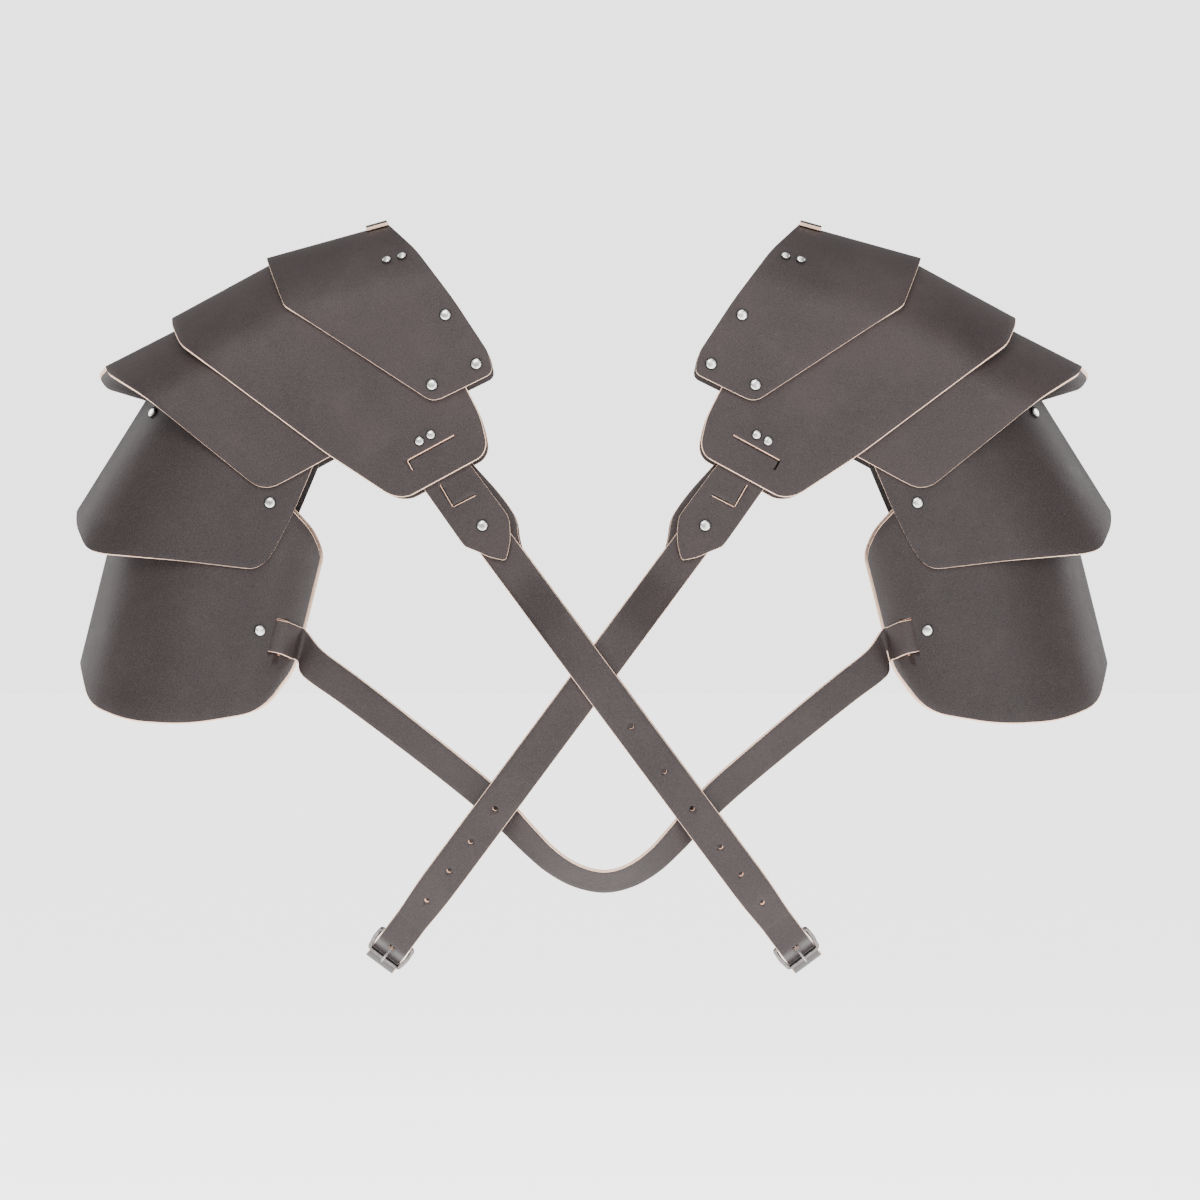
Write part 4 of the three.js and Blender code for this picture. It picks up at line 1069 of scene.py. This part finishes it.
@dataclass
class JoiningStrap:
    """The slack strap between the lower arm plates."""

    shop: Workshop

    def rows(self) -> list[Row]:
        """Returns the coarse rows: from one plate's rivet, out through its slot, over to the other plate."""
        ends = []
        for end in JOIN_ENDS:
            row = []
            for side in (1, -1):
                along = JOIN_ALONG + end.shift + side * JOIN_HALF_WIDTH
                place = LOWER_ARM.surface(along, end.drop, Face.FRONT)
                row.append(place.point + place.normal * end.height)
            ends.append(row)
        specs = list(JOIN) + [JoinRow(-row.x, row.z, row.depth, row.lean) for row in reversed(JOIN[:-1])]
        centres = [
            Vector((row.x * JOIN_SPAN + JOIN_SHIFT * (1 - abs(row.x)), -row.depth, row.z)) for row in specs
        ]
        free = []
        for i, centre in enumerate(centres):
            onward = (centres[min(len(centres) - 1, i + 1)] - centres[max(0, i - 1)]).normalized()
            up = Vector((onward.z, 0, -onward.x)).normalized()
            lean = math.radians(specs[i].lean)
            across = up * math.cos(lean) + Vector((0, -math.sin(lean), 0))
            across = (across - onward * across.dot(onward)).normalized()
            free.append([centre + across * side * JOIN_HALF_WIDTH for side in (-1, 1)])
        far = [[Vector((-p.x, p.y, p.z)) for p in row] for row in reversed(ends)]
        return ends + free + far

    def make(self) -> None:
        """Makes the strap."""
        rows = refine(self.rows(), 5)
        facing = strip_facing(rows, 1)
        self.shop.sheet(rows, facing, "joining_strap", THIN_THICKNESS, STRAP_COLUMNS, False, TAB_EDGE)


@dataclass(frozen=True)
class RivetSpec:
    """A rivet: its node, where it sits, the leather it holds and its cap."""

    node: str
    place: Place
    stack: float
    cap: float = RIVET_CAP_RADIUS


class Rivets(OneSide):
    """The rivets of one side, turned smooth, with painted shade on the rim."""

    def specs(self) -> list[RivetSpec]:
        """Returns every rivet of the side."""
        pitch = PLATE_THICKNESS + CLEARANCE
        tab_flap, back_flap = SHOULDER_FLAP - TAB_FRONT_UNDER, SHOULDER_FLAP - TAB_BACK_UNDER
        neck, big, small = COLLAR_FLAP - SHOULDER_FLAP, RIVET_CAP_RADIUS, SMALL_CAP_RADIUS
        double = 2 * pitch + CLEARANCE
        table = (
            ("neck_upper", COLLAR, -21.4, 71.3, neck, None, big, False),
            ("neck_lower", COLLAR, -32.6, 108.5, neck, None, big, False),
            ("pivot", COLLAR, -0.3, 114.1, COLLAR_FLAP - CAP_FLAP, None, big, True),
            ("small_inner", COLLAR, -3.8, 25.2, 0, PLATE_THICKNESS, small, False),
            ("small_outer", COLLAR, 6.7, 24.9, 0, PLATE_THICKNESS, small, False),
            ("tab_inner", SHOULDER, -42.7, 154.2, SHOULDER_FLAP - back_flap, None, small, False),
            ("tab_outer", SHOULDER, -34, 154.3, SHOULDER_FLAP - back_flap, None, small, False),
            ("tab_point", None, 0, 0, tab_flap - back_flap, None, big, True),
            ("hanger", UPPER_ARM, 3.7, 9.8, 0, double, big, True),
            ("arms", UPPER_ARM, 13.2, 109.7, UPPER_ARM_FLAP - LOWER_ARM_FLAP, None, big, True),
            ("joining", LOWER_ARM, 23.5, 114.5, 0, 2 * pitch + JOIN_SINK, big, False),
            ("ridge", CAP, -10.6, 0, 0, double, big, False),
        )
        made = []
        for name, plate, along, drop, gap, stack, cap, both in table:
            for face in (Face.FRONT, Face.BACK) if both else (Face.FRONT,):
                place = plate.surface(along, drop, face) if plate else self.tab_place(face)
                spaced = gap * spread(place.point.x, place.point.z) * abs(place.normal.y) + PLATE_THICKNESS
                prefix = "rivet_back_" if face is Face.BACK else "rivet_"
                made.append(RivetSpec(f"{self.side}_{prefix}{name}", place, stack or spaced, cap))
        return made

    def tab_place(self, face: Face) -> Place:
        """Returns the rivet's place on the folded tab."""

        def at(along: float, across: float) -> Vector:
            return belt_point(along, across, face.value * flap_depth(along, across, TAB_FRONT_UNDER))

        normal = (at(1, 0) - at(0, 0)).cross(at(0, 1) - at(0, 0)).normalized()
        return Place(at(0, 0), -normal if normal.y * face.value > 0 else normal)

    def make(self) -> None:
        """Makes every rivet of the side."""
        for spec in self.specs():
            self.rivet(spec)

    def rivet(self, spec: RivetSpec) -> None:
        """Spins one rivet: domed cap, rolled rim in near-black metal as painted shade, shank and tail."""
        cap, height = spec.cap, RIVET_CAP_HEIGHT
        under = -spec.stack - 2 * RIVET_SEAT
        section = (
            (0, height), (cap * 0.3, height * 0.985), (cap * 0.55, height * 0.93), (cap * 0.7, height * 0.84),
            (cap * 0.78, height * 0.66), (cap * 0.82, height * 0.6), (cap * 0.9, height * 0.58),
            (cap * 0.97, height * 0.4), (cap, height * 0.2), (cap * 0.97, 0.03), (RIVET_SHANK_RADIUS, 0),
            (RIVET_SHANK_RADIUS, under),
            (cap * 0.78, under), (cap * 0.8, under - 0.3), (cap * 0.6, under - RIVET_TAIL_HEIGHT * 0.85),
            (0, under - RIVET_TAIL_HEIGHT),
        )
        mesh = bmesh.new()
        verts = [mesh.verts.new((radius, 0, level + RIVET_SEAT)) for radius, level in section]
        edges = [mesh.edges.new(pair) for pair in zip(verts, verts[1:])]
        bmesh.ops.spin(mesh, geom=verts + edges, axis=(0, 0, 1), cent=(0, 0, 0), angle=math.tau, steps=32,
                       use_merge=True)
        bmesh.ops.remove_doubles(mesh, verts=mesh.verts, dist=0.001)
        bmesh.ops.recalc_face_normals(mesh, faces=mesh.faces)
        for face in mesh.faces:
            centre = face.calc_center_median()
            # Faces on the cap's outer rim take the near-black metal: painted shade
            rim = math.hypot(centre.x, centre.y) > cap * 0.8 and centre.z > 0
            face.material_index = 1 if rim else 0
        turn = spec.place.normal.to_track_quat("Z", "Y").to_matrix().to_4x4()
        bmesh.ops.transform(mesh, matrix=Matrix.Translation(spec.place.point) @ turn, verts=mesh.verts)
        palette = self.shop.palette
        self.shop.finish(mesh, spec.node, [palette.nickel, palette.rim], "rivet_caps", self.flip)


class Pauldron(OneSide):
    """Everything on one side."""

    def make(self) -> None:
        """Makes the plates, the belt loop and the rivets, and gives the hanger its lining."""
        plates = Plates(self.shop, self.side, self.flip)
        plates.make(COLLAR, "collar_plate")
        plates.make(SHOULDER, "shoulder_plate", cutters=self.slit())
        plates.make(CAP, "cap_plate")
        plates.make(UPPER_ARM, "upper_arm_plate")
        plates.make(LOWER_ARM, "lower_arm_plate", cutters=self.door())
        plates.make(NECK_PATCH, "neck_patch", 2 * CLEARANCE + THIN_THICKNESS, THIN_THICKNESS, 0.7)
        Belts(self.shop, self.side, self.flip).make()
        Rivets(self.shop, self.side, self.flip).make()
        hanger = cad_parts[f"{self.side}_hanger"]
        hanger.data.materials.clear()
        hanger.data.materials.append(self.shop.palette.lining)

    @staticmethod
    def cut(first: Place, second: Place, width: float, shift: float = 0.0, deep: float = 12.0):
        """Returns a block along a surface between two places, centred on it or shifted to a side."""
        run = second.point - first.point
        aside = first.normal.cross(run).normalized()
        centre = (first.point + second.point) / 2 + aside * shift
        return block(centre, run, first.normal, (run.length + 0.3, width, deep))

    @classmethod
    def slits(cls, places: list) -> tuple:
        """Returns the tools for a bent slit: the cut itself and the pale lip of its lower side."""
        made = []
        for first, second in zip(places, places[1:]):
            made.append(cls.cut(first, second, 0.7))
            made.append(cls.cut(first, second, 0.9, 0.4, 0.7))
        return tuple(made)

    def slit(self) -> tuple:
        """Returns the tools for the bent slit in the shoulder plate."""
        route = ((-56.1, 162.3), (-21.3, 162.3), (-21.3, 169))
        return self.slits([SHOULDER.surface(*place, Face.FRONT) for place in route])

    def door(self) -> tuple:
        """Returns the tool for the joining strap's slot in the lower arm plate."""
        near, far = JOIN_ALONG + JOIN_HALF_WIDTH + 1.2, JOIN_ALONG - JOIN_HALF_WIDTH - 0.6
        ends = [LOWER_ARM.surface(along, 127.4, Face.FRONT) for along in (near, far)]
        return (self.cut(*ends, 10.0),)


@dataclass(frozen=True)
class Studio:
    """Camera, floor and soft light."""

    distance: float = 8.0
    frame_width: float = 0.804
    centre: tuple = (0.0042, -0.2412)
    sensor: float = 36

    def make(self) -> None:
        """Makes the camera, the floor, the world and the lights."""
        scene = bpy.context.scene
        camera = bpy.data.objects.new("camera", bpy.data.cameras.new("camera"))
        camera.location = (self.centre[0], -self.distance, self.centre[1])
        camera.rotation_euler = (math.pi / 2, 0, 0)
        camera.data.sensor_width = self.sensor
        camera.data.lens = self.sensor * (self.distance - 0.06) / self.frame_width
        scene.collection.objects.link(camera)
        scene.camera = camera
        self.floor()
        self.world()
        for name, place, size, power in (
            ("key", (-0.5, -2.2, 1.6), 1.4, 54),
            ("fill", (1.2, -2.4, 0.6), 1.4, 26),
            ("top", (0.0, -0.2, 1.7), 1.2, 16),
            ("rim_left", (-1.5, 0.7, 0.4), 1.0, 14),
            ("rim_right", (1.5, 0.7, 0.4), 1.0, 14),
        ):
            self.light(name, Vector(place), size, power)

    def floor(self) -> None:
        """Makes the pale floor, wide and flat."""
        mesh = bmesh.new()
        bmesh.ops.create_grid(mesh, x_segments=8, y_segments=8, size=40)
        floor = placed_mesh("floor", mesh)
        floor.location = (0, 0, -0.62)
        for polygon in floor.data.polygons:
            polygon.use_smooth = True
        shade = Shade("floor")
        cloud = shade.noise(2).between(0.3, 0.7)
        shade.set(base_color=shade.mix(cloud, (0.86, 0.86, 0.86, 1), (0.9, 0.9, 0.9, 1)))
        shade.set(roughness=0.9, emission_color=(1, 1, 1, 1), emission_strength=2.6)
        floor.data.materials.append(shade.material)

    def world(self) -> None:
        """Makes the white world, stronger where the camera sees it than where it lights."""
        world = bpy.data.worlds.new("studio")
        world.use_nodes = True
        background = world.node_tree.nodes["Background"]
        background.inputs["Color"].default_value = (1, 1, 1, 1)
        path = world.node_tree.nodes.new("ShaderNodeLightPath")
        strength = world.node_tree.nodes.new("ShaderNodeMapRange")
        strength.inputs["To Min"].default_value = 0.48
        strength.inputs["To Max"].default_value = 2.8
        world.node_tree.links.new(path.outputs["Is Camera Ray"], strength.inputs["Value"])
        world.node_tree.links.new(strength.outputs["Result"], background.inputs["Strength"])
        bpy.context.scene.world = world

    def light(self, name: str, place: Vector, size: float, power: float) -> None:
        """Makes one soft light turned to the object."""
        data = bpy.data.lights.new(name, "AREA")
        data.size = size
        data.energy = power
        light = placed(name, data)
        light.location = place
        light.rotation_euler = (Vector((0, 0, -0.2)) - place).to_track_quat("-Z", "Y").to_euler()


def main() -> None:
    """Builds the pauldrons, the straps and the studio."""
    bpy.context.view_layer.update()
    shop = Workshop(Palette())
    Studio().make()
    for side, flip in (("right", False), ("left", True)):
        Pauldron(shop, side, flip).make()
    JoiningStrap(shop).make()


if __name__ == "__main__":
    main()
